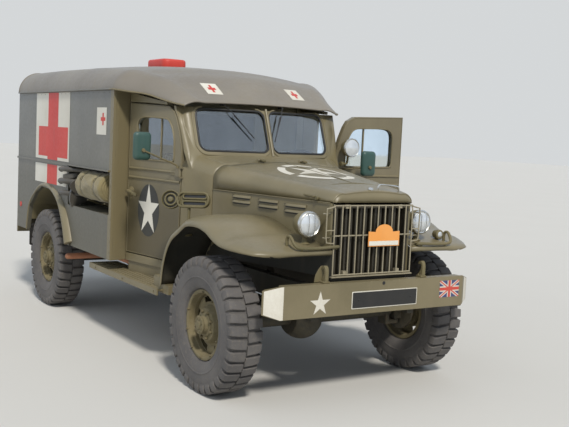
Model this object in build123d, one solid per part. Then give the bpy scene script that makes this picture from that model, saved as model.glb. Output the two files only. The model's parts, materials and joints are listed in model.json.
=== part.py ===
from build123d import *
import math
import os

# Light military ambulance truck, four-wheel drive, closed cab and body.
# Frame: +X is the vehicle's left, -Y is forward, +Z is up, millimetres.
# The origin is on the ground, midway along the length and the width.
os.makedirs("parts", exist_ok=True)

# Driving dimensions
WHEELBASE = 3073.0
FRONT_OVERHANG = 628.0
REAR_BODY_OVERHANG = 840.0
STEP_OVERHANG = 399.0
LENGTH = FRONT_OVERHANG + WHEELBASE + REAR_BODY_OVERHANG + STEP_OVERHANG
TRACK = 1645.0
BODY_HALF = 950.0
TYRE_RADIUS = 440.0
TYRE_HALF_WIDTH = 117.0
GAP = 6.0
SHEET = 12.0
WALL = 22.0

# Stations along the vehicle
FRONT_Y = -LENGTH / 2
REAR_Y = LENGTH / 2
AXLE_F = FRONT_Y + FRONT_OVERHANG
AXLE_R = AXLE_F + WHEELBASE
BODY_REAR = AXLE_R + REAR_BODY_OVERHANG
NOSE_Y = FRONT_Y + 78.0
HOOD_REAR = AXLE_F + 545.0
DOOR_FRONT = AXLE_F + 822.0
DOOR_LENGTH = 680.0
BODY_FRONT = AXLE_F + 1470.0

# Half widths of the cab and hood at the belt seam
NOSE_HALF = 318.0
HOOD_REAR_HALF = 571.0
CAB_FRONT_HALF = 685.0
CAB_REAR_HALF = 808.0
DOOR_TAPER = math.degrees(math.asin((CAB_REAR_HALF - CAB_FRONT_HALF) / DOOR_LENGTH))
DOOR_REAR = DOOR_FRONT + DOOR_LENGTH * math.cos(math.radians(DOOR_TAPER))
BULKHEAD_Y = DOOR_REAR + GAP + WALL

# Heights
AXLE_Z = TYRE_RADIUS
SILL_Z = 640.0
FLOOR_Z = 770.0
BELT_Z = 1269.0
ROOF_EDGE_Z = 1945.0
CROWN_Z = 2226.0
SEAT_Z = 1010.0

# Frame and running gear
RAIL_X = 390.0
RAIL_W = 60.0
RAIL_LOW = 600.0
RAIL_HIGH = 745.0
RAIL_FRONT = FRONT_Y + 66.0
RAIL_REAR = BODY_REAR - 40.0
KINGPIN_X = 676.0
AXLE_TUBE_R = 48.0
SPINDLE_R = 34.0
SPINDLE_CLEAR = 0.05
SPINDLE_END = 58.0
DRUM_R = 150.0
RIM_R = 215.0
RIM_HALF = 82.0
LUGS = 26
LUG_HEIGHT = 20.0
STEER_ARM = 200.0
SPRING_HALF = 500.0
SPRING_W = 56.0
LEAF = 9.0

# Doors and lids
DOOR_THICK = 42.0
DOOR_LOW = 705.0
DOOR_TOP = 1862.0
LEFT_DOOR_OPEN = 80.0
REAR_DOOR_THICK = 36.0
REAR_OPENING_HALF = 640.0
REAR_OPENING_TOP = 1860.0
GLASS = 6.0
PIN_R = 5.0
PIN_CLEAR = 0.05
BARREL_R = 12.0
SMALL_BARREL_R = 9.0
EAR_R = 6.0
SEAT_GAP = 0.3
KINGPIN_R = 14.0

# Wheel arches, recesses and wings
FENDER_HALF = 945.0
FENDER_TOP = 1131.0
FENDER_REAR = AXLE_F + 631.0
FENDER_FRONT = FRONT_Y + 64.0
FENDER_KNEE = FENDER_REAR - 945.0
FENDER_KNEE_Z = FENDER_TOP - 91.0
FENDER_NOSE_Z = FENDER_TOP - 158.0
ARCH_FRONT = AXLE_R - 690.0
ARCH_REAR = AXLE_R + 480.0
ARCH_TOP = 1091.0
TOOL_FRONT = BODY_FRONT + 45.0
TOOL_REAR = TOOL_FRONT + 930.0
TOOL_LOW = 985.0
TOOL_HIGH = 1318.0
RECESS_DEPTH = 250.0
TOOL_DEPTH = 260.0
SPARE_Y = BODY_FRONT + 550.0
SPARE_Z = 1110.0
RECESS_R = TYRE_RADIUS + 16.0


def block(x0, x1, y0, y1, z0, z1):
    """Box between two corners."""
    size = (abs(x1 - x0), abs(y1 - y0), abs(z1 - z0))
    centre = ((x0 + x1) / 2, (y0 + y1) / 2, (z0 + z1) / 2)
    return Pos(*centre) * Box(*size)


def prism_x(points, x0, x1):
    """Outline in (y, z), extruded from x0 to x1."""
    face = make_face(Polyline(*[(y, z) for y, z in points], close=True))
    plane = Plane(origin=(min(x0, x1), 0, 0), x_dir=(0, 1, 0), z_dir=(1, 0, 0))
    return extrude(plane * face, abs(x1 - x0))


def prism_y(points, y0, y1):
    """Outline in (x, z), extruded from y0 to y1."""
    face = make_face(Polyline(*[(x, z) for x, z in points], close=True))
    plane = Plane(origin=(0, max(y0, y1), 0), x_dir=(1, 0, 0), z_dir=(0, -1, 0))
    return extrude(plane * face, abs(y1 - y0))


def prism_z(points, z0, z1):
    """Outline in (x, y), extruded from z0 to z1."""
    face = make_face(Polyline(*[(x, y) for x, y in points], close=True))
    return extrude(Pos(0, 0, min(z0, z1)) * face, abs(z1 - z0))


def rod(start, end, radius):
    """Round bar between two points."""
    a = Vector(*start)
    b = Vector(*end)
    plane = Plane(origin=a, z_dir=(b - a).normalized())
    return extrude(plane * Circle(radius), (b - a).length)


def disc_x(x0, x1, y, z, radius):
    """Cylinder along X."""
    return rod((x0, y, z), (x1, y, z), radius)


def disc_y(x, y0, y1, z, radius):
    """Cylinder along Y."""
    return rod((x, y0, z), (x, y1, z), radius)


def other_side(shape):
    """The same piece on the vehicle's right."""
    return mirror(shape, about=Plane.YZ)


def cab_half(y):
    """Outside half width of the cab and hood at the belt, at a station y."""
    stations = (
        (NOSE_Y, NOSE_HALF),
        (HOOD_REAR, HOOD_REAR_HALF),
        (DOOR_FRONT, CAB_FRONT_HALF),
        (DOOR_REAR, CAB_REAR_HALF),
    )
    for (y0, w0), (y1, w1) in zip(stations, stations[1:]):
        if y <= y1:
            return w0 + (w1 - w0) * (y - y0) / (y1 - y0)
    return CAB_REAR_HALF


def crown_face(y, half, low, shoulder, crown, corner=150.0, bulge=0.72):
    """Closed section in XZ at y: upright sides, round shoulders, arched top."""
    knee = half - corner
    knee_z = crown - (crown - shoulder) * 0.27
    mid_x = half - corner * (1 - bulge)
    mid_z = shoulder + (knee_z - shoulder) * bulge
    edges = [
        Line((-half, low), (-half, shoulder)),
        ThreePointArc((-half, shoulder), (-mid_x, mid_z), (-knee, knee_z)),
        ThreePointArc((-knee, knee_z), (0, crown), (knee, knee_z)),
        ThreePointArc((knee, knee_z), (mid_x, mid_z), (half, shoulder)),
        Line((half, shoulder), (half, low)),
        Line((half, low), (-half, low)),
    ]
    plane = Plane(origin=(0, y, 0), x_dir=(1, 0, 0), z_dir=(0, -1, 0))
    return plane * make_face(edges)


nodes = {}


# Chassis frame: two rails, five cross members and three pairs of outriggers
OUTRIGGERS = (AXLE_F + 900.0, AXLE_F + 1560.0, AXLE_R + 620.0)


def make_frame():
    pieces = []
    for side in (-1, 1):
        x = side * RAIL_X
        pieces.append(block(x - RAIL_W / 2, x + RAIL_W / 2, RAIL_FRONT, RAIL_REAR, RAIL_LOW, RAIL_HIGH))
    inner = RAIL_X - RAIL_W / 2 - SEAT_GAP
    outer = RAIL_X + RAIL_W / 2 + SEAT_GAP
    members = (NOSE_Y + 60, AXLE_F + 1022, AXLE_F + 1720, AXLE_R - 420, BODY_REAR - 80)
    for y in members:
        pieces.append(block(-inner, inner, y - 35, y + 35, RAIL_LOW + 15, RAIL_HIGH - 25))
    for y in OUTRIGGERS:
        for side in (-1, 1):
            pieces.append(block(side * outer, side * (CAB_FRONT_HALF - 95), y - 30, y + 30,
                                RAIL_HIGH - 70, RAIL_HIGH))
    return Compound(children=pieces)


nodes["chassis_frame"] = make_frame()

# Front bumper: a channel with ends bent back and tapered, and two tow hooks
BUMPER_LOW = 580.0
BUMPER_HIGH = 781.0
BUMPER_HALF = 727.0
BUMPER_END = 60.0
BUMPER_OUT = 95.0
BUMPER_DEPTH = 60.0
BUMPER_TAPER = 30.0
HOOK_HALF = 24.0
HOOK_HEIGHT = 108.0


def make_bumper():
    end_x = BUMPER_HALF + BUMPER_OUT
    end_y = FRONT_Y + BUMPER_END
    outer = [(-end_x, end_y), (-BUMPER_HALF, FRONT_Y), (BUMPER_HALF, FRONT_Y), (end_x, end_y)]
    inner = [(end_x - 22, end_y + 6), (BUMPER_HALF - 10, FRONT_Y + 12),
             (-BUMPER_HALF + 10, FRONT_Y + 12), (-end_x + 22, end_y + 6)]
    face = prism_z(outer + inner, BUMPER_LOW, BUMPER_HIGH)
    for side in (-1, 1):
        for z, dz in ((BUMPER_HIGH, -BUMPER_TAPER), (BUMPER_LOW, BUMPER_TAPER)):
            wedge = prism_y([(side * BUMPER_HALF, z), (side * (end_x + 5), z + dz),
                             (side * (end_x + 5), z)], FRONT_Y - 5, end_y + 20)
            face -= wedge
    for z in (BUMPER_LOW, BUMPER_HIGH - 10):
        face += block(-BUMPER_HALF + 20, BUMPER_HALF - 20, FRONT_Y + 4, FRONT_Y + BUMPER_DEPTH,
                      z, z + 10)
    for side in (-1, 1):
        x = side * RAIL_X
        face += block(x - RAIL_W / 2, x + RAIL_W / 2, FRONT_Y + 10, RAIL_FRONT - SEAT_GAP,
                      RAIL_LOW, RAIL_HIGH)
    return face


def make_tow_hooks():
    shape = None
    for side in (-1, 1):
        x = side * RAIL_X
        x0 = x - HOOK_HALF
        x1 = x + HOOK_HALF
        y0 = FRONT_Y + 14
        top = BUMPER_HIGH + HOOK_HEIGHT
        hook = block(x0, x1, y0, RAIL_FRONT - SEAT_GAP, BUMPER_HIGH + SEAT_GAP, BUMPER_HIGH + 24)
        hook += block(x0, x1, y0, y0 + 20, BUMPER_HIGH + 20, top - 3)
        hook += block(x0, x1, y0, FRONT_Y + BUMPER_DEPTH, top - 20, top)
        shape = hook if shape is None else shape + hook
    return shape


nodes["front_bumper"] = make_bumper()
nodes["tow_hooks"] = make_tow_hooks()


# Engine block, gearbox with transfer case, and three propeller shafts
ENGINE_REAR = HOOD_REAR - 60.0
ENGINE_LOW = 600.0
ENGINE_FRONT = NOSE_Y + 200.0
DIFF_R = 150.0
FRONT_DIFF_X = -150.0
SHAFT_R = 32.0


def make_drivetrain():
    box_rear = ENGINE_REAR + 480
    shape = block(-130, 130, ENGINE_REAR + SEAT_GAP, box_rear, 520, 738)
    transfer_y = box_rear + 420
    nose = DIFF_R + 2
    shape += disc_y(0, box_rear - 10, transfer_y, 570, SHAFT_R)
    shape += block(-190, 120, transfer_y - 10, transfer_y + 240, 430, 612)
    shape += rod((0, transfer_y + 230, 520), (0, AXLE_R - nose, AXLE_Z + 10), SHAFT_R)
    shape += rod((FRONT_DIFF_X, transfer_y, 500), (FRONT_DIFF_X, AXLE_F + nose, AXLE_Z + 8), SHAFT_R - 2)
    return shape


nodes["engine"] = block(-210, 210, ENGINE_FRONT, ENGINE_REAR, ENGINE_LOW, 1180)
nodes["gearbox_and_shafts"] = make_drivetrain()


# Axles: tube, differential housing and spring seats
SPRING_LOW = AXLE_Z + 62.0


def make_axle(y, diff_x, face, tube_end):
    shape = disc_x(-tube_end, tube_end, y, AXLE_Z, AXLE_TUBE_R)
    bowl = Pos(diff_x, y, AXLE_Z) * Sphere(DIFF_R)
    bowl &= block(diff_x - 105, diff_x + 105, y - DIFF_R, y + DIFF_R, AXLE_Z - DIFF_R,
                  AXLE_Z + DIFF_R - 10)
    shape += bowl
    shape += rod((diff_x, y, AXLE_Z + 8), (diff_x, y + face * DIFF_R, AXLE_Z + 8), 60)
    for side in (-1, 1):
        x = side * RAIL_X
        shape += block(x - SPRING_W / 2 - 6, x + SPRING_W / 2 + 6, y - 60, y + 60,
                       AXLE_Z + 20, SPRING_LOW)
    return shape


YOKE_X = KINGPIN_X - 62.0
YOKE_HALF = 104.0
YOKE_ARM = 28.0
YOKE_GAP = 6.0


def make_front_axle():
    shape = make_axle(AXLE_F, FRONT_DIFF_X, 1, YOKE_X)
    for side in (-1, 1):
        x = side * KINGPIN_X
        for z in (AXLE_Z - YOKE_HALF, AXLE_Z + YOKE_HALF - YOKE_ARM):
            shape += block(side * (YOKE_X - 40), x + side * 16, AXLE_F - 32, AXLE_F + 32,
                           z, z + YOKE_ARM)
        shape += block(side * (YOKE_X - 46), side * (YOKE_X - 14), AXLE_F - 44, AXLE_F + 44,
                       AXLE_Z - YOKE_HALF, AXLE_Z + YOKE_HALF)
        shape -= rod((x, AXLE_F, AXLE_Z - YOKE_HALF - 6), (x, AXLE_F, AXLE_Z + YOKE_HALF + 6),
                     KINGPIN_R + PIN_CLEAR)
    return shape


def make_rear_axle():
    shape = make_axle(AXLE_R, 0, -1, TRACK / 2 - 125)
    for side in (-1, 1):
        x = side * TRACK / 2
        shape += disc_x(x - side * 132, x - side * 96, AXLE_R, AXLE_Z, DRUM_R)
        shape += disc_x(x - side * 100, x + side * SPINDLE_END, AXLE_R, AXLE_Z, SPINDLE_R)
    return shape


nodes["front_axle"] = make_front_axle()
nodes["rear_axle"] = make_rear_axle()


# Leaf springs: four packs with shackle eyes against the rails
def make_springs():
    shape = None
    for y in (AXLE_F, AXLE_R):
        for side in (-1, 1):
            x = side * RAIL_X
            pack = None
            for n, half in enumerate((SPRING_HALF, 400, 300, 200)):
                z = SPRING_LOW + SEAT_GAP + (3 - n) * LEAF
                leaf = block(x - SPRING_W / 2, x + SPRING_W / 2, y - half, y + half, z, z + LEAF + 0.2)
                pack = leaf if pack is None else pack + leaf
            for end in (-1, 1):
                eye_y = y + end * (SPRING_HALF - 20)
                pack += block(x - SPRING_W / 2, x + SPRING_W / 2, eye_y - 22, eye_y + 22,
                              SPRING_LOW + 20, RAIL_LOW - SEAT_GAP)
            shape = pack if shape is None else shape + pack
    return shape


nodes["leaf_springs"] = make_springs()


# Steering knuckles with spindles, and the tie rod behind the front axle
KNUCKLE_LOW = AXLE_Z - YOKE_HALF + YOKE_ARM + YOKE_GAP
KNUCKLE_HIGH = AXLE_Z + YOKE_HALF - YOKE_ARM - YOKE_GAP
ARM_LOW = KNUCKLE_LOW + 4.0
TIE_ROD_R = 17.0
TIE_ROD_Z = ARM_LOW - TIE_ROD_R - 5.5


def make_knuckle(side):
    x = side * KINGPIN_X
    wheel_x = side * TRACK / 2
    shape = block(x - side * 26, x + side * 42, AXLE_F - 40, AXLE_F + 40, KNUCKLE_LOW, KNUCKLE_HIGH)
    shape += rod((x, AXLE_F, AXLE_Z - YOKE_HALF), (x, AXLE_F, AXLE_Z + YOKE_HALF), KINGPIN_R)
    shape += disc_x(x + side * 37, x + side * 54, AXLE_F, AXLE_Z, DRUM_R)
    shape += disc_x(x + side * 40, wheel_x + side * SPINDLE_END, AXLE_F, AXLE_Z, SPINDLE_R)
    shape += prism_z([(x - side * 26, AXLE_F + 20), (x + side * 20, AXLE_F + 20),
                      (x + side * 4, AXLE_F + STEER_ARM + 24), (x - side * 30, AXLE_F + STEER_ARM + 24)],
                     ARM_LOW, ARM_LOW + 22)
    return shape


def make_tie_rod():
    y = AXLE_F + STEER_ARM
    reach = KINGPIN_X - 12
    stud_x = reach - 2
    shape = disc_x(-reach, reach, y, TIE_ROD_Z, TIE_ROD_R)
    for side in (-1, 1):
        shape += rod((side * stud_x, y, TIE_ROD_Z), (side * stud_x, y, ARM_LOW - SEAT_GAP), 12)
    return shape


nodes["knuckle_left"] = make_knuckle(1)
nodes["knuckle_right"] = make_knuckle(-1)
nodes["tie_rod"] = make_tie_rod()


# Wheels: rim barrel, dished disc, hub and flange
def make_wheel():
    profile = [
        (-RIM_HALF, RIM_R - 14), (-RIM_HALF, RIM_R + 12), (-RIM_HALF + 8, RIM_R + 12),
        (-RIM_HALF + 8, RIM_R - SEAT_GAP), (RIM_HALF - 8, RIM_R - SEAT_GAP), (RIM_HALF - 8, RIM_R + 12),
        (RIM_HALF, RIM_R + 12), (RIM_HALF, RIM_R - 14), (40, RIM_R - 14), (22, 150),
        (22, 110), (60, 96), (60, 72), (96, 66), (96, SPINDLE_R + SPINDLE_CLEAR),
        (-40, SPINDLE_R + SPINDLE_CLEAR), (-40, 78), (6, 84), (6, 150), (20, RIM_R - 14),
    ]
    face = make_face(Polyline(*[(x, r) for x, r in profile], close=True))
    return revolve(face, Axis.X, 360)


# Tyre: faceted carcass with bar lugs, set half a step apart on the two shoulders
def lug_ring(lugs, offset, x0, x1):
    """Ring of bar lugs; the lugs of one ring stand on the valleys of the other."""
    step = 360.0 / lugs
    points = []
    for n in range(lugs):
        for share, radius in ((-0.25, TYRE_RADIUS - LUG_HEIGHT), (-0.19, TYRE_RADIUS),
                              (0.19, TYRE_RADIUS), (0.25, TYRE_RADIUS - LUG_HEIGHT)):
            angle = math.radians((n + offset + share) * step)
            points.append((radius * math.cos(angle), radius * math.sin(angle)))
    ring = prism_x(points, x0, x1)
    plane = Plane(origin=(x0 - 1, 0, 0), x_dir=(0, 1, 0), z_dir=(1, 0, 0))
    return ring - extrude(plane * RegularPolygon(TYRE_RADIUS - LUG_HEIGHT - 32, lugs), x1 - x0 + 2)


def make_tyre(lugs=LUGS):
    shoulder = TYRE_HALF_WIDTH - 11
    bead = RIM_HALF - 10
    carcass = (
        (-bead, RIM_R + 13), (-TYRE_HALF_WIDTH, RIM_R + 103), (-shoulder, TYRE_RADIUS - LUG_HEIGHT - 20),
        (shoulder, TYRE_RADIUS - LUG_HEIGHT - 20), (TYRE_HALF_WIDTH, RIM_R + 103), (bead, RIM_R + 13),
    )
    rings = []
    for x, radius in carcass:
        plane = Plane(origin=(x, 0, 0), x_dir=(0, 1, 0), z_dir=(1, 0, 0))
        rings.append(plane * RegularPolygon(radius, lugs))
    shape = loft(rings, ruled=True)
    shape += lug_ring(lugs, 0.0, -shoulder, 0)
    shape += lug_ring(lugs, 0.5, 0, shoulder)
    plane = Plane(origin=(-TYRE_HALF_WIDTH - 5, 0, 0), x_dir=(0, 1, 0), z_dir=(1, 0, 0))
    bore = plane * RegularPolygon(RIM_R + 2, lugs)
    return shape - extrude(bore, 2 * TYRE_HALF_WIDTH + 10)


wheel = make_wheel()
tyre = make_tyre()
WHEEL_PLACES = {
    "front_left": (TRACK / 2, AXLE_F),
    "front_right": (-TRACK / 2, AXLE_F),
    "rear_left": (TRACK / 2, AXLE_R),
    "rear_right": (-TRACK / 2, AXLE_R),
}
for place, (x, y) in WHEEL_PLACES.items():
    outward = wheel if x > 0 else other_side(wheel)
    nodes["wheel_" + place] = Pos(x, y, AXLE_Z) * outward
    nodes["tyre_" + place] = Pos(x, y, AXLE_Z) * (tyre if x > 0 else other_side(tyre))

SPARE_REST = 16.0
SPARE_X = BODY_HALF - RECESS_DEPTH + TYRE_HALF_WIDTH + SPARE_REST
spare_hub = wheel + disc_x(-TYRE_HALF_WIDTH - SPARE_REST + SEAT_GAP, -30, 0, 0, 60)
nodes["spare_wheel"] = Pos(SPARE_X, SPARE_Y, SPARE_Z) * spare_hub
nodes["spare_tyre"] = Pos(SPARE_X, SPARE_Y, SPARE_Z) * tyre


# Front wings: one curved sheet each, with a turned-down edge
def fender_outline(shift_y, shift_z):
    points = [
        (FENDER_REAR, 600), (FENDER_REAR - 80, 880), (FENDER_REAR - 275, FENDER_TOP - 79),
        (FENDER_REAR - 495, FENDER_TOP), (FENDER_REAR - 695, FENDER_TOP - 19),
        (FENDER_REAR - 815, FENDER_TOP - 66), (FENDER_KNEE, FENDER_KNEE_Z),
        (FENDER_FRONT, FENDER_NOSE_Z),
    ]
    p = [(y + shift_y, z + shift_z) for y, z in points]
    low = 300.0
    return make_face([
        ThreePointArc(p[0], p[1], p[2]),
        ThreePointArc(p[2], p[3], p[4]),
        ThreePointArc(p[4], p[5], p[6]),
        Line(p[6], p[7]),
        Line(p[7], (p[7][0], low)),
        Line((p[7][0], low), (p[0][0], low)),
        Line((p[0][0], low), p[0]),
    ])


def make_fender():
    inner_x = NOSE_HALF - 40
    plane = Plane(origin=(inner_x, 0, 0), x_dir=(0, 1, 0), z_dir=(1, 0, 0))
    outer = extrude(plane * fender_outline(0, 0), FENDER_HALF - inner_x)
    under = extrude(plane * fender_outline(-SHEET, -SHEET), FENDER_HALF - inner_x)
    sheet = outer - under
    lip_plane = Plane(origin=(FENDER_HALF - SHEET, 0, 0), x_dir=(0, 1, 0), z_dir=(1, 0, 0))
    lip = extrude(lip_plane * fender_outline(0, 0), SHEET)
    lip -= extrude(lip_plane * fender_outline(-24, -28), SHEET)
    sheet += lip
    sheet += block(inner_x, FENDER_HALF, FENDER_FRONT, FENDER_FRONT + SHEET,
                   FENDER_NOSE_Z - 34, FENDER_NOSE_Z)
    keep = prism_z([
        (cab_half(FENDER_REAR + 20) + SEAT_GAP, FENDER_REAR + 20), (HOOD_REAR_HALF + SEAT_GAP, HOOD_REAR),
        (NOSE_HALF + SEAT_GAP, NOSE_Y), (NOSE_HALF + SEAT_GAP, FENDER_FRONT - 20),
        (730, FENDER_FRONT - 20), (FENDER_HALF - 90, FENDER_FRONT + 40),
        (FENDER_HALF - 10, FENDER_FRONT + 190), (FENDER_HALF + 5, FENDER_FRONT + 420),
        (FENDER_HALF + 5, FENDER_REAR + 20),
    ], 600, 1200)
    return sheet & keep


fender = make_fender()
nodes["fender_left"] = fender
nodes["fender_right"] = other_side(fender)


# Hinge places of the front doors, the rear doors and the hood
HINGE_X = CAB_FRONT_HALF + 8.0
HINGE_Y = DOOR_FRONT + 6.0
DOOR_HINGES = (760.0, 1330.0)
HINGE_TALL = 60.0
REAR_HINGE_X = REAR_OPENING_HALF + 2.0
REAR_HINGE_Y = BODY_REAR + 12.0
REAR_HINGES = (860.0, 1290.0, 1720.0)
HOOD_REAR_CROWN = 1466.0
HOOD_HINGE_Z = HOOD_REAR_CROWN + 9.0
HOOD_HINGE_HALF = 14.0
HOOD_HINGES = (-180.0, 180.0)


def hinge_ears(x, y, z):
    """Fixed pin of an upright hinge, with an ear below and above the moving barrel."""
    shape = rod((x, y, z - 9), (x, y, z + HINGE_TALL + 9), PIN_R)
    for low in (z - 9, z + HINGE_TALL + 1):
        shape += rod((x, y, low), (x, y, low + 8), EAR_R)
    return shape


def hinge_barrel(x, y, z, radius):
    """Moving barrel of an upright hinge, bored for its pin."""
    return rod((x, y, z), (x, y, z + HINGE_TALL), radius)


def hinge_bore(x, y, z):
    """Hole for the fixed pin through a moving barrel."""
    return rod((x, y, z - 1), (x, y, z + HINGE_TALL + 1), PIN_R + PIN_CLEAR)


# Hood: rear-hinged lid above the belt seam
HOOD_NOSE_CROWN = 1350.0
HOOD_SKIN = 18.0


def hood_solid(inset):
    low = BELT_Z - (0 if inset == 0 else 5)
    nose = NOSE_Y + inset * 1.4
    sections = [
        crown_face(nose, NOSE_HALF - 18 - inset, low, BELT_Z + 4, HOOD_NOSE_CROWN - 36 - inset, 70),
        crown_face(nose + 38, NOSE_HALF + 6 - inset, low, BELT_Z + 14, HOOD_NOSE_CROWN - inset, 90),
        crown_face(HOOD_REAR, HOOD_REAR_HALF - inset, low, BELT_Z + 85, HOOD_REAR_CROWN - inset, 130),
    ]
    return loft(sections, ruled=True)


def make_hood():
    shape = hood_solid(0) - hood_solid(HOOD_SKIN)
    for x in HOOD_HINGES:
        x0 = x - HOOD_HINGE_HALF
        x1 = x + HOOD_HINGE_HALF
        shape += disc_x(x0, x1, HOOD_REAR, HOOD_HINGE_Z, SMALL_BARREL_R)
        shape += block(x0, x1, HOOD_REAR - 26, HOOD_REAR, HOOD_HINGE_Z - 30, HOOD_HINGE_Z)
        shape -= disc_x(x0 - 1, x1 + 1, HOOD_REAR, HOOD_HINGE_Z, PIN_R + PIN_CLEAR)
    return shape


nodes["hood"] = make_hood()


# Louvred side panels of the engine bay, down to the wing and beyond it
HOOD_SIDE_LOW = 800.0
HOOD_SIDE_SHEET = 16.0


def make_hood_side():
    front = NOSE_Y + 26
    rear = HOOD_REAR - SEAT_GAP
    return prism_z([
        (NOSE_HALF, front), (HOOD_REAR_HALF, rear),
        (HOOD_REAR_HALF - HOOD_SIDE_SHEET, rear), (NOSE_HALF - HOOD_SIDE_SHEET, front),
    ], HOOD_SIDE_LOW, BELT_Z - GAP)


hood_side = make_hood_side()
nodes["hood_sides"] = hood_side + other_side(hood_side)


# Radiator shell with its core, and the upright bars of the grille guard in front
GUARD_HALF = 311.0
GUARD_LOW = 813.0
GUARD_HIGH = 1256.0
GUARD_BARS = 12
SHELL_FRONT = NOSE_Y + 22.0
SHELL_DEPTH = 110.0
SHELL_SLATS = 14
GUARD_BAR = 7.0
GUARD_WING = GUARD_HALF + 62.0
GUARD_FOOT_X = 210.0


def make_radiator_shell():
    half = NOSE_HALF - 17.0
    shape = block(-half, half, SHELL_FRONT, SHELL_FRONT + SHELL_DEPTH, RAIL_HIGH + 4, GUARD_HIGH - 2)
    shape -= block(-half + 30, half - 30, SHELL_FRONT - 5, SHELL_FRONT + 60, RAIL_HIGH + 60,
                   GUARD_HIGH - 24)
    width = 2 * (half - 30)
    for n in range(1, SHELL_SLATS):
        x = -half + 30 + width * n / SHELL_SLATS
        shape += block(x - 8, x + 8, SHELL_FRONT + 12, SHELL_FRONT + 50, RAIL_HIGH + 58,
                       GUARD_HIGH - 22)
    shape += block(-half + 60, half - 60, SHELL_FRONT + 20, SHELL_FRONT + 70,
                   RAIL_HIGH - 25 + SEAT_GAP, RAIL_HIGH + 10)
    return shape


def make_guard():
    y0 = NOSE_Y - 6.0
    bar = GUARD_BAR
    shape = None
    pitch = 2 * GUARD_HALF / (GUARD_BARS - 1)
    for n in range(GUARD_BARS):
        x = -GUARD_HALF + pitch * n
        upright = block(x - bar, x + bar, y0 - bar, y0 + bar, GUARD_LOW, GUARD_HIGH)
        shape = upright if shape is None else shape + upright
    for z in (GUARD_LOW + 8, (GUARD_LOW + GUARD_HIGH) / 2 + 14, GUARD_HIGH - 8):
        shape += block(-GUARD_HALF - bar, GUARD_HALF + bar, y0 + 2, y0 + 14, z - 8, z + 8)
    for side in (-1, 1):
        wing = side * GUARD_WING
        shape += block(wing - bar, wing + bar, y0 - bar, y0 + bar, 1010, GUARD_HIGH)
        for z in (1018, GUARD_HIGH - 60):
            shape += block(side * GUARD_HALF, wing, y0 - 5, y0 + 5, z - 6, z + 6)
        x = side * GUARD_FOOT_X
        for low, high in ((GUARD_LOW + 2, GUARD_LOW + 30), (GUARD_HIGH - 20, GUARD_HIGH - 2)):
            shape += block(x - 18, x + 18, y0 + 4, SHELL_FRONT - SEAT_GAP, low, high)
    return shape


nodes["radiator_shell"] = make_radiator_shell()
nodes["grille_guard"] = make_guard()

# Cowl, firewall, sills, windshield frame and dash: the front of the cab
COWL_SKIN = 22.0
WINDSHIELD_LOW = 1380.0
WINDSHIELD_HIGH = 1839.0
WINDSHIELD_SLOPE = 0.395
PANE_HALF = 557.0
PANE_LOW = 1526.0
PANE_HIGH = 1830.0
VEE = 88.0
VEE_Y = AXLE_F + 682.0 - (1488.0 - WINDSHIELD_LOW) * WINDSHIELD_SLOPE
FRAME_THICK = 40.0


def vee_band(y_front, half, thick):
    """V-shaped plan band of the windshield frame at one height."""
    return [
        (-half, y_front + VEE - 10), (-PANE_HALF - 30, y_front + VEE), (0, y_front),
        (PANE_HALF + 30, y_front + VEE), (half, y_front + VEE - 10),
        (half, y_front + VEE + thick), (0, y_front + thick), (-half, y_front + VEE + thick),
    ]


def pane_cut(side, y0, y1, shrink=0.0):
    """Rounded-corner window prism along Y, one side of the divider."""
    x0 = 17 + shrink
    x1 = PANE_HALF - shrink
    z0 = PANE_LOW + shrink
    z1 = PANE_HIGH - shrink
    width = x1 - x0
    plane = Plane(origin=(side * (x0 + x1) / 2, max(y0, y1), (z0 + z1) / 2), x_dir=(1, 0, 0),
                  z_dir=(0, -1, 0))
    return extrude(plane * RectangleRounded(width, z1 - z0, 60), abs(y1 - y0))


def glass_band(y_front, half, thick):
    """Plain V in plan, as wide as the panes."""
    back = y_front + VEE * half / (PANE_HALF + 30)
    return [(-half, back), (0, y_front), (half, back),
            (half, back + thick), (0, y_front + thick), (-half, back + thick)]


def windshield_slab(band, front_shift, thick, half):
    """Raked V-shaped plate, from the cowl to the header."""
    rake = (WINDSHIELD_HIGH - WINDSHIELD_LOW) * WINDSHIELD_SLOPE
    low = Pos(0, 0, WINDSHIELD_LOW) * make_face(
        Polyline(*band(VEE_Y + front_shift, half, thick), close=True))
    high = Pos(0, 0, WINDSHIELD_HIGH) * make_face(
        Polyline(*band(VEE_Y + front_shift + rake, half, thick), close=True))
    return loft([low, high], ruled=True)


def cab_plan(inset, z0, z1):
    """Tapered plan of the cab from the hood to the door's rear edge."""
    points = []
    for y in (HOOD_REAR, DOOR_FRONT, DOOR_REAR):
        points.append((cab_half(y) - inset, y))
    return prism_z(points + [(-x, y) for x, y in reversed(points)], z0, z1)


def cowl_solid(inset):
    low = SILL_Z - (0 if inset == 0 else 5)
    front = HOOD_REAR + GAP + (0 if inset == 0 else COWL_SKIN)
    rear = DOOR_FRONT - GAP + (0 if inset == 0 else 5)
    sections = [
        crown_face(front, cab_half(front) - inset, low, BELT_Z + 85, HOOD_REAR_CROWN - inset, 130),
        crown_face(rear, cab_half(rear) - inset, low, BELT_Z + 140, 1536 - inset, 130),
    ]
    return loft(sections, ruled=True)


def door_outline(grow=0.0):
    """Distance behind the hinge edge and height, along the cab's side."""
    long = DOOR_LENGTH - GAP + grow
    return [
        (-grow, DOOR_LOW - grow), (-grow, 1540), (37 - grow, 1660), (76 - grow, 1752 + grow / 2),
        (107 - grow, 1800 + grow), (173, 1836 + grow), (long, DOOR_TOP - 6 + grow),
        (long, DOOR_LOW - grow),
    ]


def door_slab(points, skin_in, skin_out):
    """Outline in (distance from the hinge edge, height), as a slab inward of the cab's side."""
    flat = prism_x(points, -skin_in, -skin_out)
    return Pos(CAB_FRONT_HALF, DOOR_FRONT, 0) * (Rot(0, 0, -DOOR_TAPER) * flat)


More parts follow.
